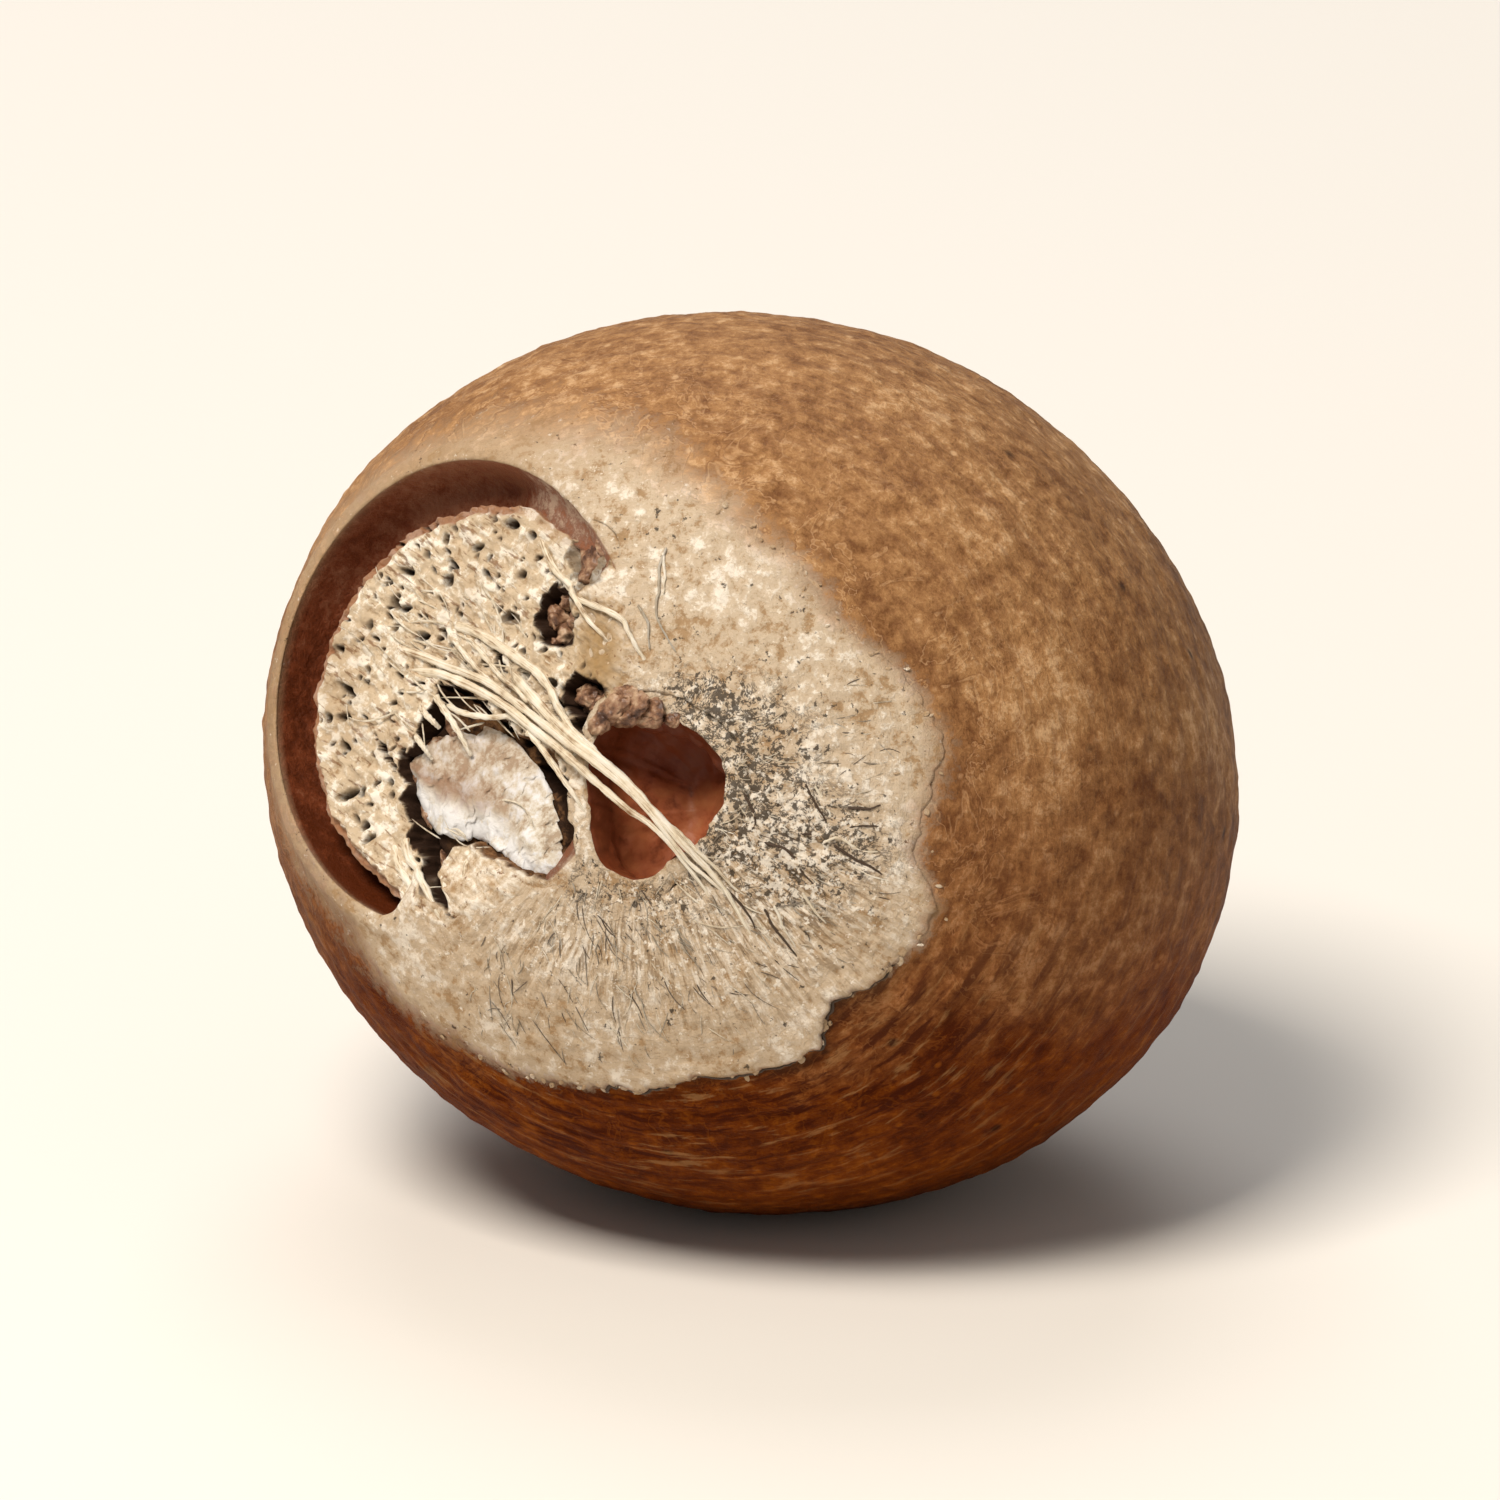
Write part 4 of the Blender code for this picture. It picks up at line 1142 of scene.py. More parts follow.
beads = {
    "sectors": 48,
    "rings": 24,
    "swell": ((0.34, 0.8, 71), (0.2, 0.35, 72)),  # noises in shares of the radius
    # x, y, how high its middle is, its half length, width and height, its turn
    "places": (
        (3.3, 2, -0.42, 0.38, 0.3, 0.36, 100), (3.66, 1.45, -0.42, 0.34, 0.26, 0.34, 60),
        (3.3, 1.25, -0.44, 0.26, 0.2, 0.3, 20), (3.62, 2.5, -0.5, 0.28, 0.2, 0.28, 40),
        (4.85, -0.38, -0.38, 0.46, 0.34, 0.4, -18), (5.3, -0.65, -0.4, 0.34, 0.24, 0.34, 40),
        (4.42, -0.15, -0.48, 0.2, 0.15, 0.26, 0), (5.65, -0.85, -0.34, 0.3, 0.2, 0.24, 0),
        (3.95, 1.9, -0.44, 0.26, 0.2, 0.28, 80), (5.6, -1.2, 0, 0.46, 0.3, 0.24, 50),
        (6, -0.85, 0.04, 0.6, 0.36, 0.22, 20), (6.55, -0.72, 0.06, 0.62, 0.36, 0.2, 0),
        (7.05, -0.82, 0.03, 0.5, 0.32, 0.18, -15), (6.3, -1.08, -0.08, 0.6, 0.26, 0.26, 0),
        (6.95, -1.12, -0.08, 0.5, 0.24, 0.24, 0), (6.3, -0.4, 0, 0.45, 0.26, 0.17, -10),
        (7.5, -1.1, -0.02, 0.34, 0.22, 0.16, -30), (4.7, 3.1, -0.24, 0.3, 0.22, 0.2, 30),
        (5.3, 3.9, -0.3, 0.34, 0.24, 0.22, -60), (5, 4.5, -0.34, 0.24, 0.2, 0.18, 0),
        (5.6, 3.1, -0.2, 0.3, 0.2, 0.16, 80), (5.95, -0.55, -0.22, 0.45, 0.32, 0.24, -30),
        (4.45, -0.85, -0.55, 0.26, 0.2, 0.2, 10), (4.9, 3.5, -0.24, 0.62, 0.5, 0.26, -50),
        (4.5, 0.55, -0.24, 0.6, 0.3, 0.2, -20), (-0.55, -0.85, -0.6, 0.55, 0.3, 0.26, -55),
        (-1.3, -1.3, -0.6, 0.36, 0.2, 0.2, 20), (-0.5, -4.9, -0.66, 0.5, 0.16, 0.18, -62),
        (4.95, -3.5, -0.5, 0.3, 0.14, 0.16, 80), (-1.9, -2.2, -0.6, 0.45, 0.16, 0.2, 80),
        (-1.5, -3.3, -0.6, 0.4, 0.14, 0.2, 110),
    ),
}


def makeBeads(material):
    # each an ellipsoid of latitude rings, pushed in and out along its normal by noise
    turn = evenTurns(beads["sectors"])
    polar = shares(beads["rings"] + 1)[:-1] * math.pi
    sphere = stacked(np.sin(polar) * np.cos(turn), np.sin(polar) * np.sin(turn), np.cos(polar))
    shells = []
    for number, (middleX, middleY, lift, long, wide, high, lean) in enumerate(beads["places"]):
        swell = 1 + layered(sphere + number * 3, beads["swell"])
        along, across, up = np.moveaxis(sphere * swell[..., None], -1, 0)
        x, y = turned(along * long, across * wide, -math.radians(lean))
        x, y = middleX + x, middleY + y
        base = bedLevel(np.array([middleX]), np.array([middleY]))[0]
        shells.append(closedShell(onScar(x, y, base + lift + up * high)))
    addPiece("driedTissue", shells, material)


flakes = {
    "rows": 10,
    "columns": 12,
    "thickness": 0.025,
    # from and to, degrees round the scar; how far past the edge and how much that varies, mm; how
    # many; the least and most length
    "stretches": (
        (-72, -30, -0.1, 0.14, 50, (0.1, 0.28)), (-30, 34, -0.18, 0.26, 34, (0.08, 0.18)),
        (-100, -70, -0.05, 0.16, 20, (0.1, 0.22)),
    ),
    "slender": 0.36,  # half width as a share of the length
    "curl": (0.0, 0.05),
}


def makeFlakes(material):
    # slivers of membrane near its torn edge: rows along each, whose width goes as sin(pi s)^0.6
    # and whose far end rises as s^2
    pick = np.random.default_rng(31)
    across, isTop = overAndUnder(flakes["columns"])
    across = 2 * across - 1
    share = np.linspace(0.01, 0.99, flakes["rows"])[:, None]
    bulge = np.cos(across * 1.5)
    shells = []
    for start, end, beyond, scatter, count, lengths in flakes["stretches"]:
        for number in range(count):
            turn = np.radians(pick.uniform(start, end))
            length = pick.uniform(*lengths)
            width = length * flakes["slender"] * pick.uniform(0.6, 1.3)
            curl, lean = pick.uniform(*flakes["curl"]), pick.normal(0, 1.2)
            past = pick.normal(beyond, scatter)
            ragged = 1 + 0.3 * noise(stacked(share * 4, 0, number), 1, 81)
            sideways = across * width * np.sin(math.pi * share) ** 0.6 * ragged
            outwardRun, roundRun = turned((share - 0.5) * length, sideways, -lean)
            tilt = membraneEdge(np.array([turn])) + (outwardRun + past) / scar["arm"]
            bed = bedPoints(tilt, turn + roundRun / (scar["arm"] * np.sin(tilt)))
            height = 0.02 + curl * share**2 + 0.015 * bulge + 0.04 * (past < 0)
            height = height - np.where(isTop, 0, flakes["thickness"] * bulge + 0.02)
            rings = bed + unit(bed) * height[..., None]
            shells.append(closedShell(
                rings, pastEdge=-3, softness=0.7 + 0.45 * (number % 3), flow=poleFlow(rings),
                speckle=0.25 * patchShare(rings, membrane["speckled"]),
            ))
    addPiece("tornFlakes", shells, material)


# Fibres dried onto the membrane. They fan out from one place in the scar's plane.
veins = {
    "count": 380,
    "steps": 9,
    "sides": 5,
    "from": (4.6, -2.4),
    "turns": (-125, 18),  # the fan, in degrees
    "reach": (3.2, 8.8),  # how far out they start, mm
    "length": (0.25, 1.3),
    "thick": (0.008, 0.02),
    "darkShare": 0.6,
    # the longest: how dark, and the path as x, y in the scar's plane
    "lines": (
        (1, ((10.78, -2.85), (10.96, -3.29), (11.1, -3.68), (11.24, -3.97))),
        (1, ((10.07, -4.06), (10.64, -4.27), (11.14, -4.25), (11.72, -4.04), (12.33, -4))),
        (1, ((11.31, -4.59), (11.67, -4.91), (12.03, -5.15), (12.25, -5.39))),
        (1, ((9.7, -4.55), (10.21, -4.76), (10.43, -5.23), (10.65, -5.65), (10.87, -5.98))),
        (1, ((8.51, -5.79), (8.76, -6.14), (8.99, -6.56), (9.03, -6.9))),
        (1, ((9.4, -6.38), (9.52, -6.89), (9.71, -7.31), (9.84, -7.64))),
        (1, ((11.71, -3.51), (12.11, -3.54), (12.45, -3.43))),
        (1, ((9.38, -3.25), (9.5, -3.68), (9.54, -4.03), (9.35, -4.3))),
        (0.45, ((7.24, 3.8), (7.17, 3.13), (7.21, 2.49), (7.22, 1.76), (7.5, 1.21), (7.76, 0.76))),
        (0.45, ((6.7, 2.11), (6.99, 1.57), (7.05, 0.85))),
        (0, ((10.39, -5.92), (10.57, -6.42), (10.77, -6.75))),
        (0, ((11.05, -4.5), (11.48, -4.41), (11.84, -4.69), (12.23, -4.71))),
        (0, ((11.53, -5), (11.87, -5.33), (12.29, -5.48))),
        (0, ((9.65, -6.29), (9.74, -6.88), (9.91, -7.38))),
        (0, ((11.05, -2.96), (11.23, -3.43), (11.33, -3.82))),
        (0, ((7.19, 3.64), (7.31, 3.03), (7.34, 2.42))),
    ),
    "lineThick": (0.042, 0.022),
    "lineSteps": 60,
    "lineSides": 6,
    # painted shadow: dark tubes along the membrane's torn edge, for the shade in the gap under it:
    # from and to, in degrees round the scar
    "gapShadows": ((-74, -63), (-61, -50), (-48, -33)),
    "gapThick": (0.06, 0.035),
    "gapSteps": 180,
}


def makeVeins(material):
    # each path runs outwards along the fan, with a bend
    pick = np.random.default_rng(53)
    share, shells = np.linspace(0, 1, 5), []
    arch = np.sin(share * math.pi)
    while len(shells) < veins["count"]:
        turn = math.radians(pick.uniform(*veins["turns"]))
        start, length = pick.uniform(*veins["reach"]), pick.uniform(*veins["length"])
        lean, bend = turn + pick.normal(0, 0.45), pick.normal(0, 0.1)
        thick, dark = pick.uniform(*veins["thick"]), pick.uniform(0, 1) < veins["darkShare"]
        forward, sideways = turned(share * length, bend * length * arch, -lean)
        x = veins["from"][0] + start * math.cos(turn) + forward
        y = veins["from"][1] + start * math.sin(turn) + sideways
        # only on the membrane, clear of its edge, the cavity and the plug
        past = pastEdge(onScar(x, y, bedLevel(x, y)), np.arctan2(y, x))
        onPlug = np.hypot(x, y) < scar["radius"] + plug["overlap"]
        if past.max() > -0.6 or cavityInside(x, y).max() > -0.15 or onPlug.any():
            continue
        lift = membrane["thickness"] + 0.01 + 0.02 * arch - 0.05 * (share - 0.5) ** 2
        shells.append(fibreShell(
            stacked(x, y, lift), thick, thick * 0.6, len(shells), veins["steps"], veins["sides"],
            dark=dark * pick.uniform(0.4, 1),
        ))
    for dark, line in veins["lines"]:
        x, y = curveThrough(line, 16).T
        wander = 0.05 * noise(stacked(x, y), 0.35, 91)
        x, y = x + wander, y - wander
        # it dives under the membrane where that ends
        sunk = smooth(-0.35, -0.1, pastEdge(onScar(x, y, bedLevel(x, y)), np.arctan2(y, x)))
        path = stacked(x, y, membrane["thickness"] + 0.05 - 0.3 * sunk)
        shells.append(fibreShell(
            path, *veins["lineThick"], len(shells), veins["lineSteps"], veins["lineSides"],
            dark=dark,
        ))
    # painted shadow: dark tubes along the membrane's torn edge
    for start, end in veins["gapShadows"]:
        turn = np.radians(np.linspace(start, end, 60))
        x, y, level = scarPlace(bedPoints(membraneEdge(turn) + 0.05 / scar["arm"], turn))
        path = stacked(x, y, level - bedLevel(x, y))
        shells.append(fibreShell(
            path, *veins["gapThick"], len(shells), veins["gapSteps"], veins["lineSides"],
            dark=1,
        ))
    addPiece("membraneFibres", shells, material)


# Dried seed coat of a betel nut: a matt brown skin over the hard kernel, mottled and streaked, and
# round the scar a papery membrane, pale, with fine grains, radial fibres and grey-black specks.
seedCoat = {
    "brown": "#966a40",
    "gold": "#ac7f51",
    "pale": "#cda57a",
    "deep": "#744a26",
    "darkest": "#3a2110",
    # painted shade: tints the skin darker where it lies lowest, for the shade under the nut
    "paintedUnderShade": "#ae7425",  # multiplies the skin where it lies lowest
    "vein": "#6b4022",
    "tipTan": "#a98258",
    "membraneCream": "#cdb99f",
    "membraneLight": "#f0e6d7",
    "membraneTan": "#a98a66",
    "stroke": "#7b6244",
    "speck": "#453c33",
    "wallRed": "#74391e",
    "wallDeep": "#56260f",
    "wallPink": "#8f5c42",
    "wallDust": "#8b6654",
    "wallCream": "#ad937e",
    # noise: size in mm, detail, roughness, distortion
    "noises": (
        (4, 3, 0.6, 0),  # blotches
        (0.5, 6, 0.78, 0),  # mottling, much coarser than the real grain, so that it shows
        (2.2, 4, 0.7, 0.6),  # wrinkles
        (0.5, 6, 0.75, 0),  # the membrane's grains
        (2.6, 4, 0.6, 0),  # its patches
        (0.3, 3, 0.7, 0),  # dots
        (0.9, 5, 0.75, 0.5),  # crooked lines
    ),
    # noise round the base's pole: shift, scale round it and away from it, detail, roughness,
    # distortion
    "poleNoises": (
        ((0, 0, 0), (5.5, 5.5, 1 / 0.32), 5, 0.65, 0),  # streaks round it, 0.3 mm wide, 2 mm long
        ((0, 0, 0), (20, 20, 1 / 7), 4, 0.6, 0.6),  # vein lines to the tip, 1 mm apart
        ((0, 0, 0), (26, 26, 1 / 1.3), 4, 0.7, 0),  # fibres 0.3 mm apart and 1.3 mm long
        ((4, 7, 0), (34, 34, 1 / 0.8), 3, 0.7, 0),  # strokes 0.2 mm wide and 0.8 mm long
    ),
    # relief in mm: mottling, wrinkles, streaks, grains
    "reliefs": (0.06, 0.05, 0.08, 0.06),
}


def makeSeedCoat():
    look = seedCoat
    material, add, shader = newMaterial("driedSeedCoat", {"IOR": 1.45})
    place = add("TexCoord", output="Object")
    flow = add("Attribute", attribute_name="flow", output="Vector")
    past, softness, speckle, radial, band, moatWall, shallow, wallTone = (
        add("Attribute", attribute_name=mark, output="Fac") for mark in (
            "pastEdge", "softness", "speckle", "radial", "band", "moatWall", "shallow", "wallTone",
        )
    )
    blotch, mottle, wrinkles, grains, patches, dots, crooked = (
        add("TexNoise", {
            "Vector": place, "Scale": 1000 / size, "Detail": detail, "Roughness": rough,
            "Distortion": bent,
        }) for size, detail, rough, bent in look["noises"]
    )
    streaks, veinLines, fibreLines, strokes = (
        add("TexNoise", {
            "Vector": add("Mapping", {"Vector": flow, "Location": shift, "Scale": scale}),
            "Scale": 1.0, "Detail": detail, "Roughness": rough, "Distortion": bent,
        }) for shift, scale, detail, rough, bent in look["poleNoises"]
    )

    # skin: blotches and mottling
    shade = add("Math", {0: mottle, 1: 0.7}, operation="MULTIPLY")
    shade = add("Math", {0: blotch, 1: 0.3, 2: shade}, operation="MULTIPLY_ADD")
    skin = add("ValToRGB", {0: shade}, stops=(
        (0.38, look["deep"]), (0.47, look["brown"]), (0.54, look["gold"]), (0.62, look["pale"]),
    ))
    # dark spots of 0.3 mm a few millimetres apart, and painted glints: pale flecks of 0.2 mm
    spots = add("TexVoronoi", {"Vector": place, "Scale": 1000 / 2.6})
    flecks = add("Mapping", {"Vector": place, "Location": (0.01, 0.02, 0.03)})
    flecks = add("TexVoronoi", {"Vector": flecks, "Scale": 1000 / 1.3})
    # streaks are strongest in the band under the membrane and wrinkles near its edge; the vein
    # lines are on the far side, and the tip is paler
    streaked = add("MapRange", {0: band, 1: 0.0, 2: 1.0, 3: 0.34, 4: 1.0})
    wrinkled = add("MapRange", {0: past, 1: 5.0, 2: 0.5, 3: 0.08, 4: 0.6})
    away = add("SeparateXYZ", {0: flow}, output="Z")
    farSide = add("MapRange", {0: away, 1: 18, 2: 25, 3: 0.0, 4: 0.55})
    tipShare = add("MapRange", {0: away, 1: 30, 2: 38, 3: 0.0, 4: 0.6})
    skin = paintOver(add, skin, (
        (look["vein"], streaks, ((0.4, 1.0), (0.5, 0.0)), streaked),
        (look["darkest"], spots, ((0.04, 0.85), (0.09, 0.0)), 1),
        # painted glints: pale flecks
        (look["pale"], flecks, ((0.05, 0.8), (0.11, 0.0)), 1),
        # painted highlight and shade: wrinkles are golden on their lit side and dark on their
        # shaded side
        (look["pale"], wrinkles, ((0.475, 0.0), (0.487, 1.0), (0.5, 0.0)), wrinkled),
        (look["vein"], wrinkles, ((0.498, 0.0), (0.51, 1.0), (0.525, 0.0)), wrinkled),
        (look["vein"], veinLines, ((0.46, 0.0), (0.6, 1.0)), farSide),
        (look["tipTan"], tipShare, None, 1),
    ))
    # painted shade: darker the lower it lies, for the shade under the nut
    height = add("SeparateXYZ", {0: place}, output="Z")
    height = add("Math", {0: blotch, 1: 0.008, 2: height}, operation="MULTIPLY_ADD")
    low = add("MapRange", {0: height, 1: 0.0225, 2: 0.0105, 3: 0.0, 4: 1.0})
    skin = add("Mix", {
        0: low, 6: skin, 7: look["paintedUnderShade"],
    }, data_type="RGBA", blend_type="MULTIPLY", output=2)
    # painted shadow: a broken dark line on the skin just beyond the membrane's edge, where that is
    # crisp
    corner = add("MapRange", {0: past, 1: 0.55, 2: 0.04, 3: 0.0, 4: 1.0})
    crisp = add("MapRange", {0: softness, 1: 0.25, 2: 0.0, 3: 0.0, 4: 1.0})
    corner = add("Math", {0: corner, 1: crisp}, operation="MULTIPLY")
    skin = paintOver(add, skin, (
        (look["gold"], streaks, ((0.56, 0.0), (0.65, 0.55)), streaked),
        # painted shadow under the membrane's edge
        (look["darkest"], streaks, ((0.42, 1.0), (0.58, 0.15)), corner),
    ))

    # membrane: grains and patches, and fibres where they show
    fibreShare = add("MapRange", {0: radial, 1: 0.0, 2: 1.0, 3: 0.15, 4: 0.7})
    tone = add("Mix", {0: fibreShare, 2: grains, 3: fibreLines}, data_type="FLOAT")
    tone = add("Math", {0: tone, 1: 0.72}, operation="MULTIPLY")
    tone = add("Math", {0: patches, 1: 0.28, 2: tone}, operation="MULTIPLY_ADD")
    film = add("ValToRGB", {0: tone}, stops=(
        (0.42, look["membraneTan"]), (0.48, look["membraneCream"]),
        (0.52, look["membraneCream"]), (0.58, look["membraneLight"]),
    ))
    softFilm = add("MapRange", {0: softness, 1: 0.7, 2: 1.0, 3: 0.0, 4: 0.65})
    # specks: dots of 0.12 mm and crooked lines 0.06 mm wide, gathered where the mark is high
    dots = add("Math", {0: speckle, 1: 0.17, 2: dots}, operation="MULTIPLY_ADD")
    dots = add("ValToRGB", {0: dots}, stops=((0.65, 0.0), (0.7, 0.9)))
    crooked = add("Math", {0: crooked, 1: 0.5}, operation="SUBTRACT")
    crooked = add("Math", {0: crooked}, operation="ABSOLUTE")
    crooked = add("ValToRGB", {0: crooked}, stops=((0.01, 1.0), (0.03, 0.0)))
    crookedShare = add("MapRange", {0: speckle, 1: 0.1, 2: 0.6, 3: 0.0, 4: 0.9})
    crooked = add("Math", {0: crooked, 1: crookedShare}, operation="MULTIPLY")
    specks = add("Math", {0: dots, 1: crooked}, operation="MAXIMUM")
    # and painted glints: white flecks between them, where the specks and fibres are
    white = add("Mapping", {"Vector": place, "Location": (0.03, 0.01, 0.02)})
    white = add("TexNoise", {
        "Vector": white, "Scale": 1000 / 0.26, "Detail": 3, "Roughness": 0.7,
    })
    grainy = add("Math", {0: speckle, 1: radial}, operation="ADD")
    white = add("Math", {0: grainy, 1: 0.08, 2: white}, operation="MULTIPLY_ADD")
    film = paintOver(add, film, (
        (look["stroke"], strokes, ((0.53, 0.0), (0.6, 0.85)), radial),
        (look["membraneLight"], strokes, ((0.38, 0.9), (0.45, 0.0)), radial),
        (look["membraneTan"], softFilm, None, 1),
        # painted shade: the membrane too is a little darker where it lies low
        (look["membraneTan"], low, None, 0.25),
        (look["speck"], specks, None, 1),
        # painted glints
        (look["membraneLight"], white, ((0.64, 0.0), (0.71, 0.85)), 1),
    ))

    # over its softness in mm the membrane's edge breaks up into the skin
    breakUp = add("Math", {0: grains, 1: 0.5}, operation="SUBTRACT")
    reach = add("Math", {0: softness, 1: 6.0, 2: 0.5}, operation="MULTIPLY_ADD")
    beyond = add("Math", {0: breakUp, 1: reach, 2: past}, operation="MULTIPLY_ADD")
    spread = add("Math", {0: softness, 1: 1.2, 2: 0.05}, operation="MULTIPLY_ADD")
    beyond = add("Math", {0: beyond, 1: spread}, operation="DIVIDE")
    beyond = add("MapRange", {0: beyond, 1: -1.2, 2: 1.0, 3: 0.0, 4: 1.0})

    # the moat's wall and floor: polished red-brown, and mottled cream and pink where it is shallow
    # painted light and shade: the wall's tone is raised towards the top of the moat and lowered
    # away from it
    wallTone = add("Math", {0: shade, 1: wallTone}, operation="ADD")
    wall = add("ValToRGB", {0: wallTone}, stops=(
        (0.4, look["wallDeep"]), (0.52, look["wallRed"]), (0.66, look["wallPink"]),
    ))
    filled = add("ValToRGB", {0: grains}, stops=(
        (0.39, look["wallPink"]), (0.48, look["wallDust"]), (0.58, look["wallCream"]),
    ))
    wall = paintOver(add, wall, ((filled, shallow, None, 1),))
    colour = paintOver(add, film, ((skin, beyond, None, 1), (wall, moatWall, None, 1)))

    # the underside under the painted shade shines less, and the polished wall more
    shine = add("MapRange", {0: low, 1: 0.0, 2: 1.0, 3: 0.22, 4: 0.05})
    polished = add("Math", {0: moatWall, 1: shallow}, operation="SUBTRACT")
    dull = add("MapRange", {0: polished, 1: 0.0, 2: 1.0, 3: 0.48, 4: 0.3})
    dull = add("Math", {0: shade, 1: 0.25, 2: dull}, operation="MULTIPLY_ADD")
    relief = {}
    for pattern, rise in zip((mottle, wrinkles, streaks, grains), look["reliefs"]):
        relief = {"Normal": add("Bump", {"Height": pattern, "Distance": rise / 1000, **relief})}
    feed(shader, {"Base Color": colour, "Specular IOR Level": shine, "Roughness": dull, **relief})
    return material


# Torn pith of the husk: dry, spongy and fibrous, so quite matt, cream where it is clean and brown
# in its sunken middle, partly as painted shade. Its pores, pits and cracks are painted near-black
# as shade.
pith = {
    "cream": "#cdb99d",
    "light": "#f0e8d9",
    "tan": "#a18462",
    "brown": "#7a5535",
    "darkest": "#2c1a0d",
    "rindRed": "#94603f",
    "golden": "#a08052",
    "reliefs": (0.06, 0.12),  # in mm: strands, sponge
}


def makePith():
    look = pith
    material, add, shader = newMaterial("tornHuskPith", {
        "IOR": 1.4, "Roughness": 0.85, "Specular IOR Level": 0.3,
    })
    place = add("TexCoord", output="Object")
    run = add("Attribute", attribute_name="fibreRun", output="Vector")
    dark, hollow, rind, speckle, merge, golden = (
        add("Attribute", attribute_name=mark, output="Fac")
        for mark in ("dark", "hollow", "rind", "speckle", "merge", "golden")
    )
    # sponge of 0.5 mm and finer, stains of 2.2 mm, and dots of 0.3 mm
    sponge, stain, dots = (
        add("TexNoise", {
            "Vector": place, "Scale": 1000 / size, "Detail": detail, "Roughness": rough,
        }) for size, detail, rough in ((0.5, 6, 0.72), (2.2, 3, 0.6), (0.3, 3, 0.7))
    )
    # strands 0.2 mm wide along the grain, and brown strokes 0.16 mm wide between them
    strands, strokes = (
        add("TexNoise", {
            "Vector": add("Mapping", {"Vector": run, "Location": shift, "Scale": scale}),
            "Scale": 1.0, "Detail": detail, "Roughness": 0.6,
        }) for shift, scale, detail in (
            ((0, 0, 0), (1 / 1.1, 1 / 0.2, 1 / 0.4), 4),
            ((5, 3, 0), (1 / 0.7, 1 / 0.16, 1 / 0.4), 3),
        )
    )
    tone = add("Math", {0: sponge, 1: 0.72}, operation="MULTIPLY")
    tone = add("Math", {0: strands, 1: 0.28, 2: tone}, operation="MULTIPLY_ADD")
    clean, film, sunken = (add("ValToRGB", {0: tone}, stops=stops) for stops in (
        ((0.36, look["tan"]), (0.44, look["cream"]), (0.5, look["cream"]), (0.56, look["light"])),
        ((0.4, seedCoat["membraneTan"]), (0.48, seedCoat["membraneCream"]),
         (0.58, seedCoat["membraneLight"])),
        ((0.42, look["darkest"]), (0.56, look["brown"]), (0.66, look["tan"])),
    ))
    golden = add("Math", {0: golden, 1: sponge, 2: 0.05}, operation="MULTIPLY_ADD")
    golden = add("MapRange", {0: golden, 1: 0.12, 2: 0.44, 3: 0.0, 4: 0.85})
    dots = add("Math", {0: speckle, 1: 0.12, 2: dots}, operation="MULTIPLY_ADD")
    colour = paintOver(add, clean, (
        (look["tan"], stain, ((0.5, 0.0), (0.7, 0.35)), 1),
        (look["brown"], strokes, ((0.58, 0.0), (0.66, 0.75)), 1),
        (film, merge, None, 0.85),  # where it runs into the membrane it takes its colours
        (look["golden"], golden, None, 1),
        # brown of the sunken middle, partly painted shade
        (sunken, hollow, None, 1),
        (look["rindRed"], rind, None, 0.8),
        (look["brown"], dots, ((0.6, 0.0), (0.68, 0.9)), merge),
        # painted shade: near-black in pores, pits, cracks and the left end of the sunken middle
        (look["darkest"], dark, None, 1),
    ))
    relief = {}
    for pattern, rise in zip((strands, sponge), look["reliefs"]):
        relief = {"Normal": add("Bump", {"Height": pattern, "Distance": rise / 1000, **relief})}
    feed(shader, {"Base Color": colour, **relief})
    return material


# Husk fibre: split, dry plant fibre with a slight silky gloss, cream with brown along its grooves.
fibreLook = {
    "cream": "#dacbb0",
    "light": "#ece4d5",
    "brown": "#8a6540",
    "grey": "#4a392b",
}


def makeFibreLook():
    look = fibreLook
    material, add, shader = newMaterial("splitHuskFibre", {
        "IOR": 1.5, "Roughness": 0.55, "Specular IOR Level": 0.4,
    })
    place = add("TexCoord", output="Object")
    run = add("Attribute", attribute_name="fibreRun", output="Vector")
    dark = add("Attribute", attribute_name="dark", output="Fac")
    # grooves along the fibre, and patches of 0.9 mm
    grooves = add("Mapping", {"Vector": run, "Scale": (0.35, 2.2, 3.0)})
    grooves = add("TexNoise", {"Vector": grooves, "Scale": 1.0, "Detail": 3, "Roughness": 0.6})
    patches = add("TexNoise", {
        "Vector": place, "Scale": 1000 / 0.9, "Detail": 3, "Roughness": 0.6,
    })
    tone = add("Math", {0: grooves, 1: patches}, operation="ADD")
    tone = add("Math", {0: tone, 1: 0.5}, operation="MULTIPLY")
    colour = add("ValToRGB", {0: tone}, stops=(
        (0.36, look["brown"]), (0.47, look["cream"]), (0.58, look["light"]),
    ))
    feed(shader, {
        # grey where the dark mark says: dark fibres, and the painted shadow tubes under the
        # membrane's edge
        "Base Color": paintOver(add, colour, ((look["grey"], dark, None, 1),)),
        "Normal": add("Bump", {"Height": grooves, "Distance": 0.00003}),
    })
    return material


# The cavity's wall: the kernel's inner skin, smooth, hard and red-brown, with orange flecks.
cavityLook = {
    "red": "#a35a38",
    "deep": "#5e2a14",
    "orange": "#b06b42",
    "ledge": "#743014",
}


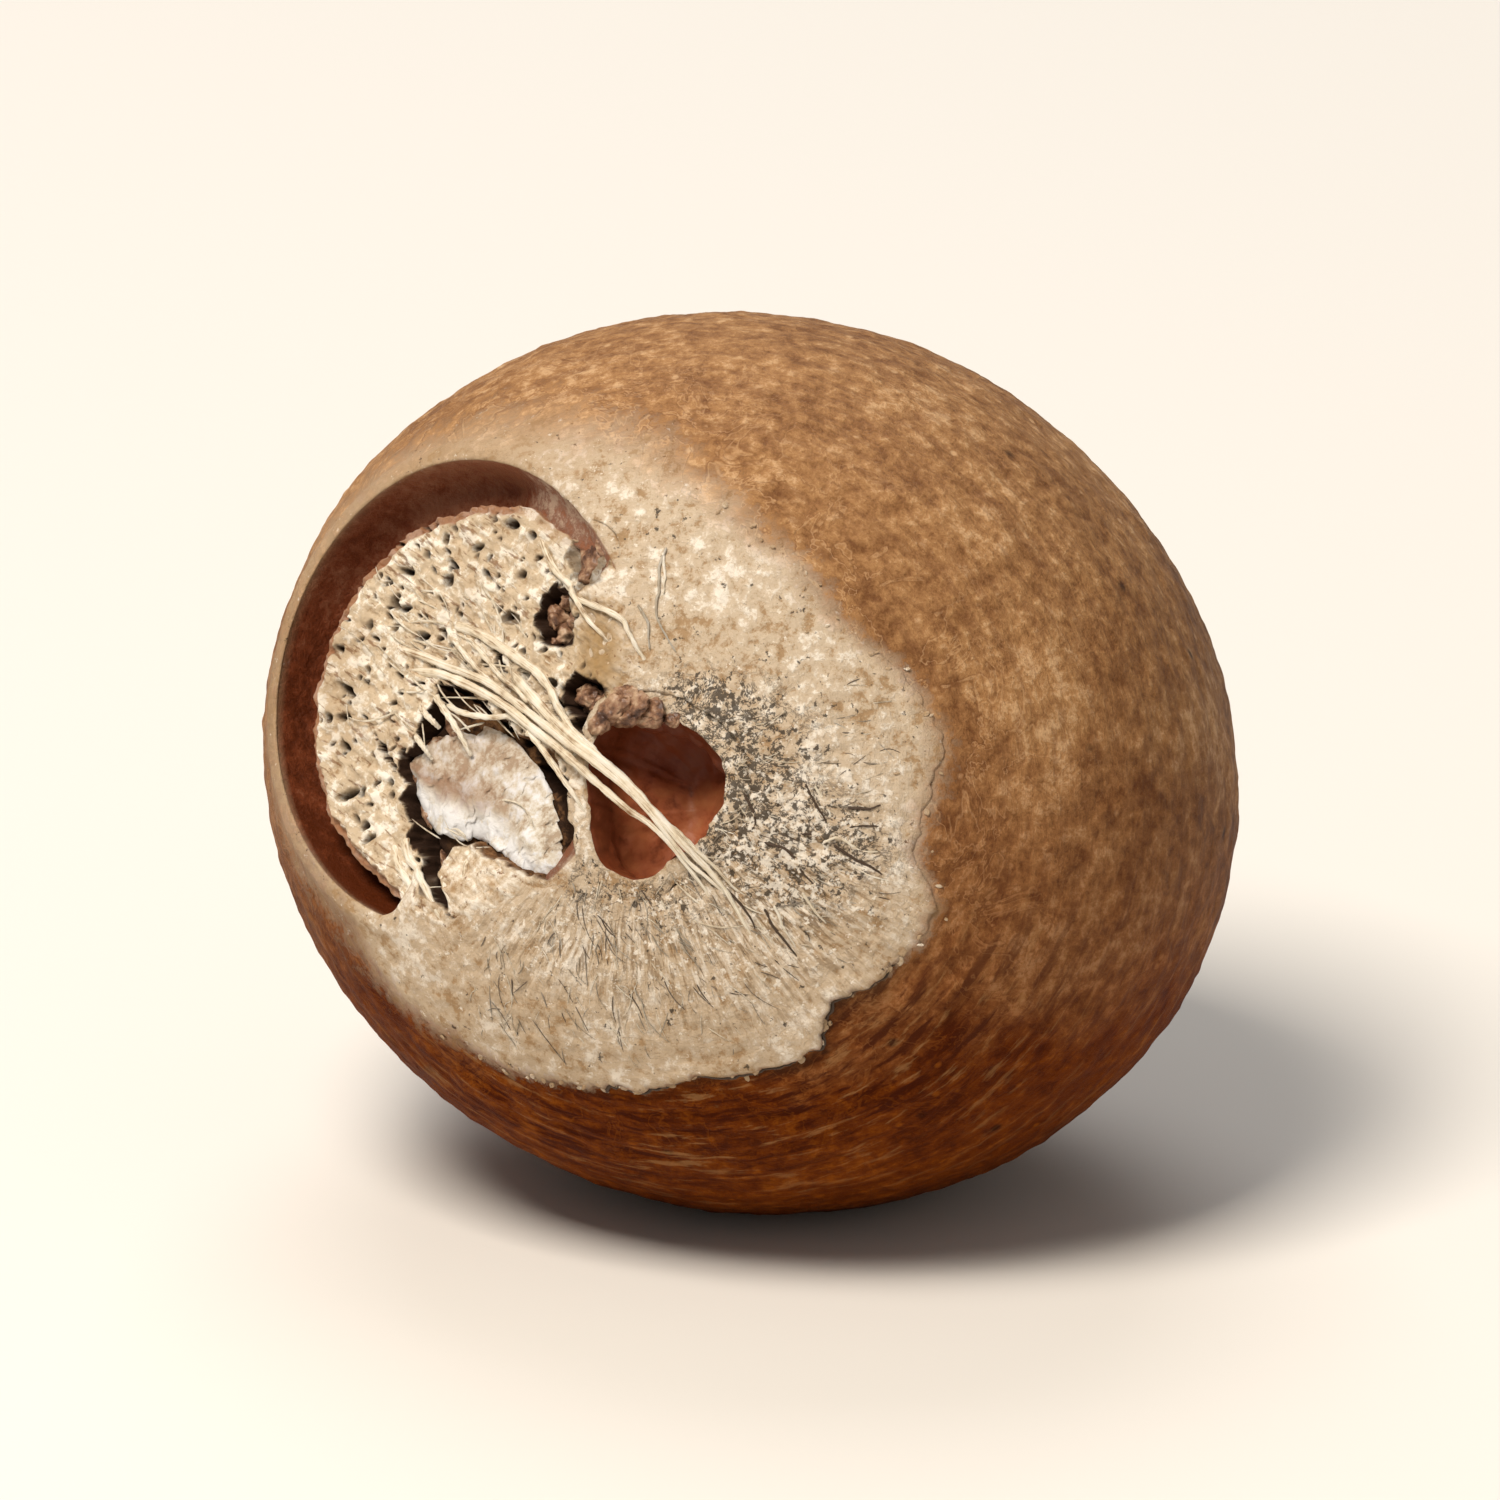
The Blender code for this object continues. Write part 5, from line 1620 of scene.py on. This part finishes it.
def makeCavityWall():
    look = cavityLook
    material, add, shader = newMaterial("innerSeedSkin", {
        "IOR": 1.47, "Roughness": 0.45, "Specular IOR Level": 0.3,
    })
    place = add("TexCoord", output="Object")
    depth = add("Attribute", attribute_name="depth", output="Fac")
    ledge = add("Attribute", attribute_name="shelf", output="Fac")
    # mottling of 0.9 mm, darker on the shelf, and painted shade near the rim, which overhangs the
    # wall
    mottle = add("TexNoise", {
        "Vector": place, "Scale": 1000 / 0.9, "Detail": 4, "Roughness": 0.65,
    })
    colour = add("ValToRGB", {0: mottle}, stops=(
        (0.32, look["deep"]), (0.47, look["red"]), (0.68, look["orange"]),
    ))
    # painted shade under the overhanging rim
    rimShade = add("MapRange", {0: depth, 1: 0.8, 2: 2.0, 3: 0.85, 4: 0.0})
    feed(shader, {
        "Base Color": paintOver(add, colour, (
            (look["ledge"], ledge, None, 0.8), (look["deep"], rimShade, None, 1),
        )),
        "Normal": add("Bump", {"Height": mottle, "Distance": 0.00006}),
    })
    return material


# The flap in the middle: a dry white skin left of the pith, thin and a little silky.
flapLook = {
    "white": "#e4e3e3",
    "cream": "#d0c6b5",
    "brown": "#96765e",
    "shadow": "#a8937c",
}


def makeFlapLook():
    look = flapLook
    material, add, shader = newMaterial("dryWhitePithSkin", {
        "IOR": 1.4, "Roughness": 0.6, "Specular IOR Level": 0.4,
    })
    place = add("TexCoord", output="Object")
    across = add("Attribute", attribute_name="across", output="Fac")
    along = add("Attribute", attribute_name="along", output="Fac")
    # creases of 0.55 mm
    creases = add("TexNoise", {
        "Vector": place, "Scale": 1000 / 0.55, "Detail": 5, "Roughness": 0.7,
    })
    white = add("ValToRGB", {0: creases}, stops=((0.36, look["cream"]), (0.48, look["white"])))
    upper = add("ValToRGB", {0: creases}, stops=(
        (0.4, look["shadow"]), (0.5, look["cream"]), (0.62, look["white"]),
    ))
    # white along its lower edge, cream above, and a brown band between them towards its left end
    wavy = add("Math", {0: creases, 1: 0.5, 2: across}, operation="MULTIPLY_ADD")
    upShare = add("MapRange", {0: wavy, 1: 0.42, 2: 0.6, 3: 0.0, 4: 1.0})
    leftEnd = add("MapRange", {0: along, 1: 0.3, 2: 0.75, 3: 0.9, 4: 0.0})
    feed(shader, {
        "Base Color": paintOver(add, white, (
            (upper, upShare, None, 1),
            (look["brown"], wavy, ((0.5, 0.0), (0.66, 1.0), (0.9, 0.35)), leftEnd),
        )),
        "Normal": add("Bump", {"Height": creases, "Distance": 0.0001}),
    })
    return material


# Dried lumps of brown tissue in the pits: gummy once, so smoother and glossier than the pith.
tissueLook = {
    "brown": "#8c674d",
    "tan": "#ba9c7f",
    "deep": "#4c3022",
}


def makeTissue():
    look = tissueLook
    material, add, shader = newMaterial("driedTissue", {
        "IOR": 1.5, "Roughness": 0.45, "Specular IOR Level": 0.5,
    })
    place = add("TexCoord", output="Object")
    # mottling of 0.4 mm
    mottle = add("TexNoise", {
        "Vector": place, "Scale": 1000 / 0.4, "Detail": 4, "Roughness": 0.65,
    })
    feed(shader, {
        "Base Color": add("ValToRGB", {0: mottle}, stops=(
            (0.36, look["deep"]), (0.5, look["brown"]), (0.66, look["tan"]),
        )),
        "Normal": add("Bump", {"Height": mottle, "Distance": 0.00005}),
    })
    return material


coat = makeSeedCoat()
makeKernel(coat)
makeMembrane(coat)
makePlug(makePith())
makeCavity(makeCavityWall(), coat)
fibreMaterial = makeFibreLook()
makeFibres(fibreMaterial)
makeHairs(fibreMaterial)
makeFlap(makeFlapLook())
makeBeads(makeTissue())
makeFlakes(coat)
makeVeins(fibreMaterial)
print("nut dressed")


# Studio: sizes and places in metres, powers in watts.
studio = {
    "floorHalf": 3.0,
    "floorColour": "#e4e0da",
    "worldColour": "#f2f0ec",
    "worldStrength": 0.24,
    "lights": (
        # name, where it stands, side, power, colour
        ("keyLight", (-0.15, -0.17, 0.4), 0.18, 2.35, "#fff6ea"),
        ("fillLight", (0.4, -0.3, 0.16), 0.4, 0.14, "#fff2e4"),
        ("backLight", (-0.02, 0.33, 0.4), 0.3, 1.0, "#ffffff"),
    ),
    "aim": (0.0, 0.0, 0.0125),
    "cameraRise": 20.0,
    "cameraTurn": 0.0,
    "cameraDistance": 1.0,
    "frameWidth": 0.043,  # what the frame takes in at the aim
    "sensor": 10.0,  # millimetres
}


def makeStudio():
    half = studio["floorHalf"]
    mesh = bpy.data.meshes.new("floor")
    corners = [(-half, -half, 0), (half, -half, 0), (half, half, 0), (-half, half, 0)]
    mesh.from_pydata(corners, [], [(0, 1, 2, 3)])
    # matt paper sweep
    mesh.materials.append(newMaterial("mattPaper", {
        "Base Color": studio["floorColour"], "Roughness": 0.9, "Specular IOR Level": 0.2,
    })[0])
    addObject("floor", mesh)

    world = bpy.data.worlds.new("studioAir")
    world.use_nodes = True
    feed(world.node_tree.nodes["Background"], {
        "Color": studio["worldColour"], "Strength": studio["worldStrength"],
    })
    bpy.context.scene.world = world

    aim = Vector(studio["aim"])
    for name, stand, side, power, colour in studio["lights"]:
        lamp = bpy.data.lights.new(name, "AREA")
        lamp.size = side
        lamp.energy = power
        lamp.color = linear(colour)[:3]
        light = addObject(name, lamp)
        light.location = stand
        light.rotation_euler = (aim - Vector(stand)).to_track_quat("-Z", "Y").to_euler()

    rise, turn = math.radians(studio["cameraRise"]), math.radians(studio["cameraTurn"])
    flat = Vector((math.sin(turn), -math.cos(turn), 0)) * math.cos(rise)
    towards = flat + Vector((0, 0, math.sin(rise)))
    lens = bpy.data.cameras.new("camera")
    lens.sensor_width = studio["sensor"]
    lens.lens = studio["sensor"] * studio["cameraDistance"] / studio["frameWidth"]
    lens.clip_start = 0.02
    camera = addObject("camera", lens)
    camera.location = aim + towards * studio["cameraDistance"]
    camera.rotation_euler = (-towards).to_track_quat("-Z", "Y").to_euler()
    bpy.context.scene.camera = camera
    bpy.context.scene.view_settings.view_transform = "Standard"


makeStudio()
print("studio set")
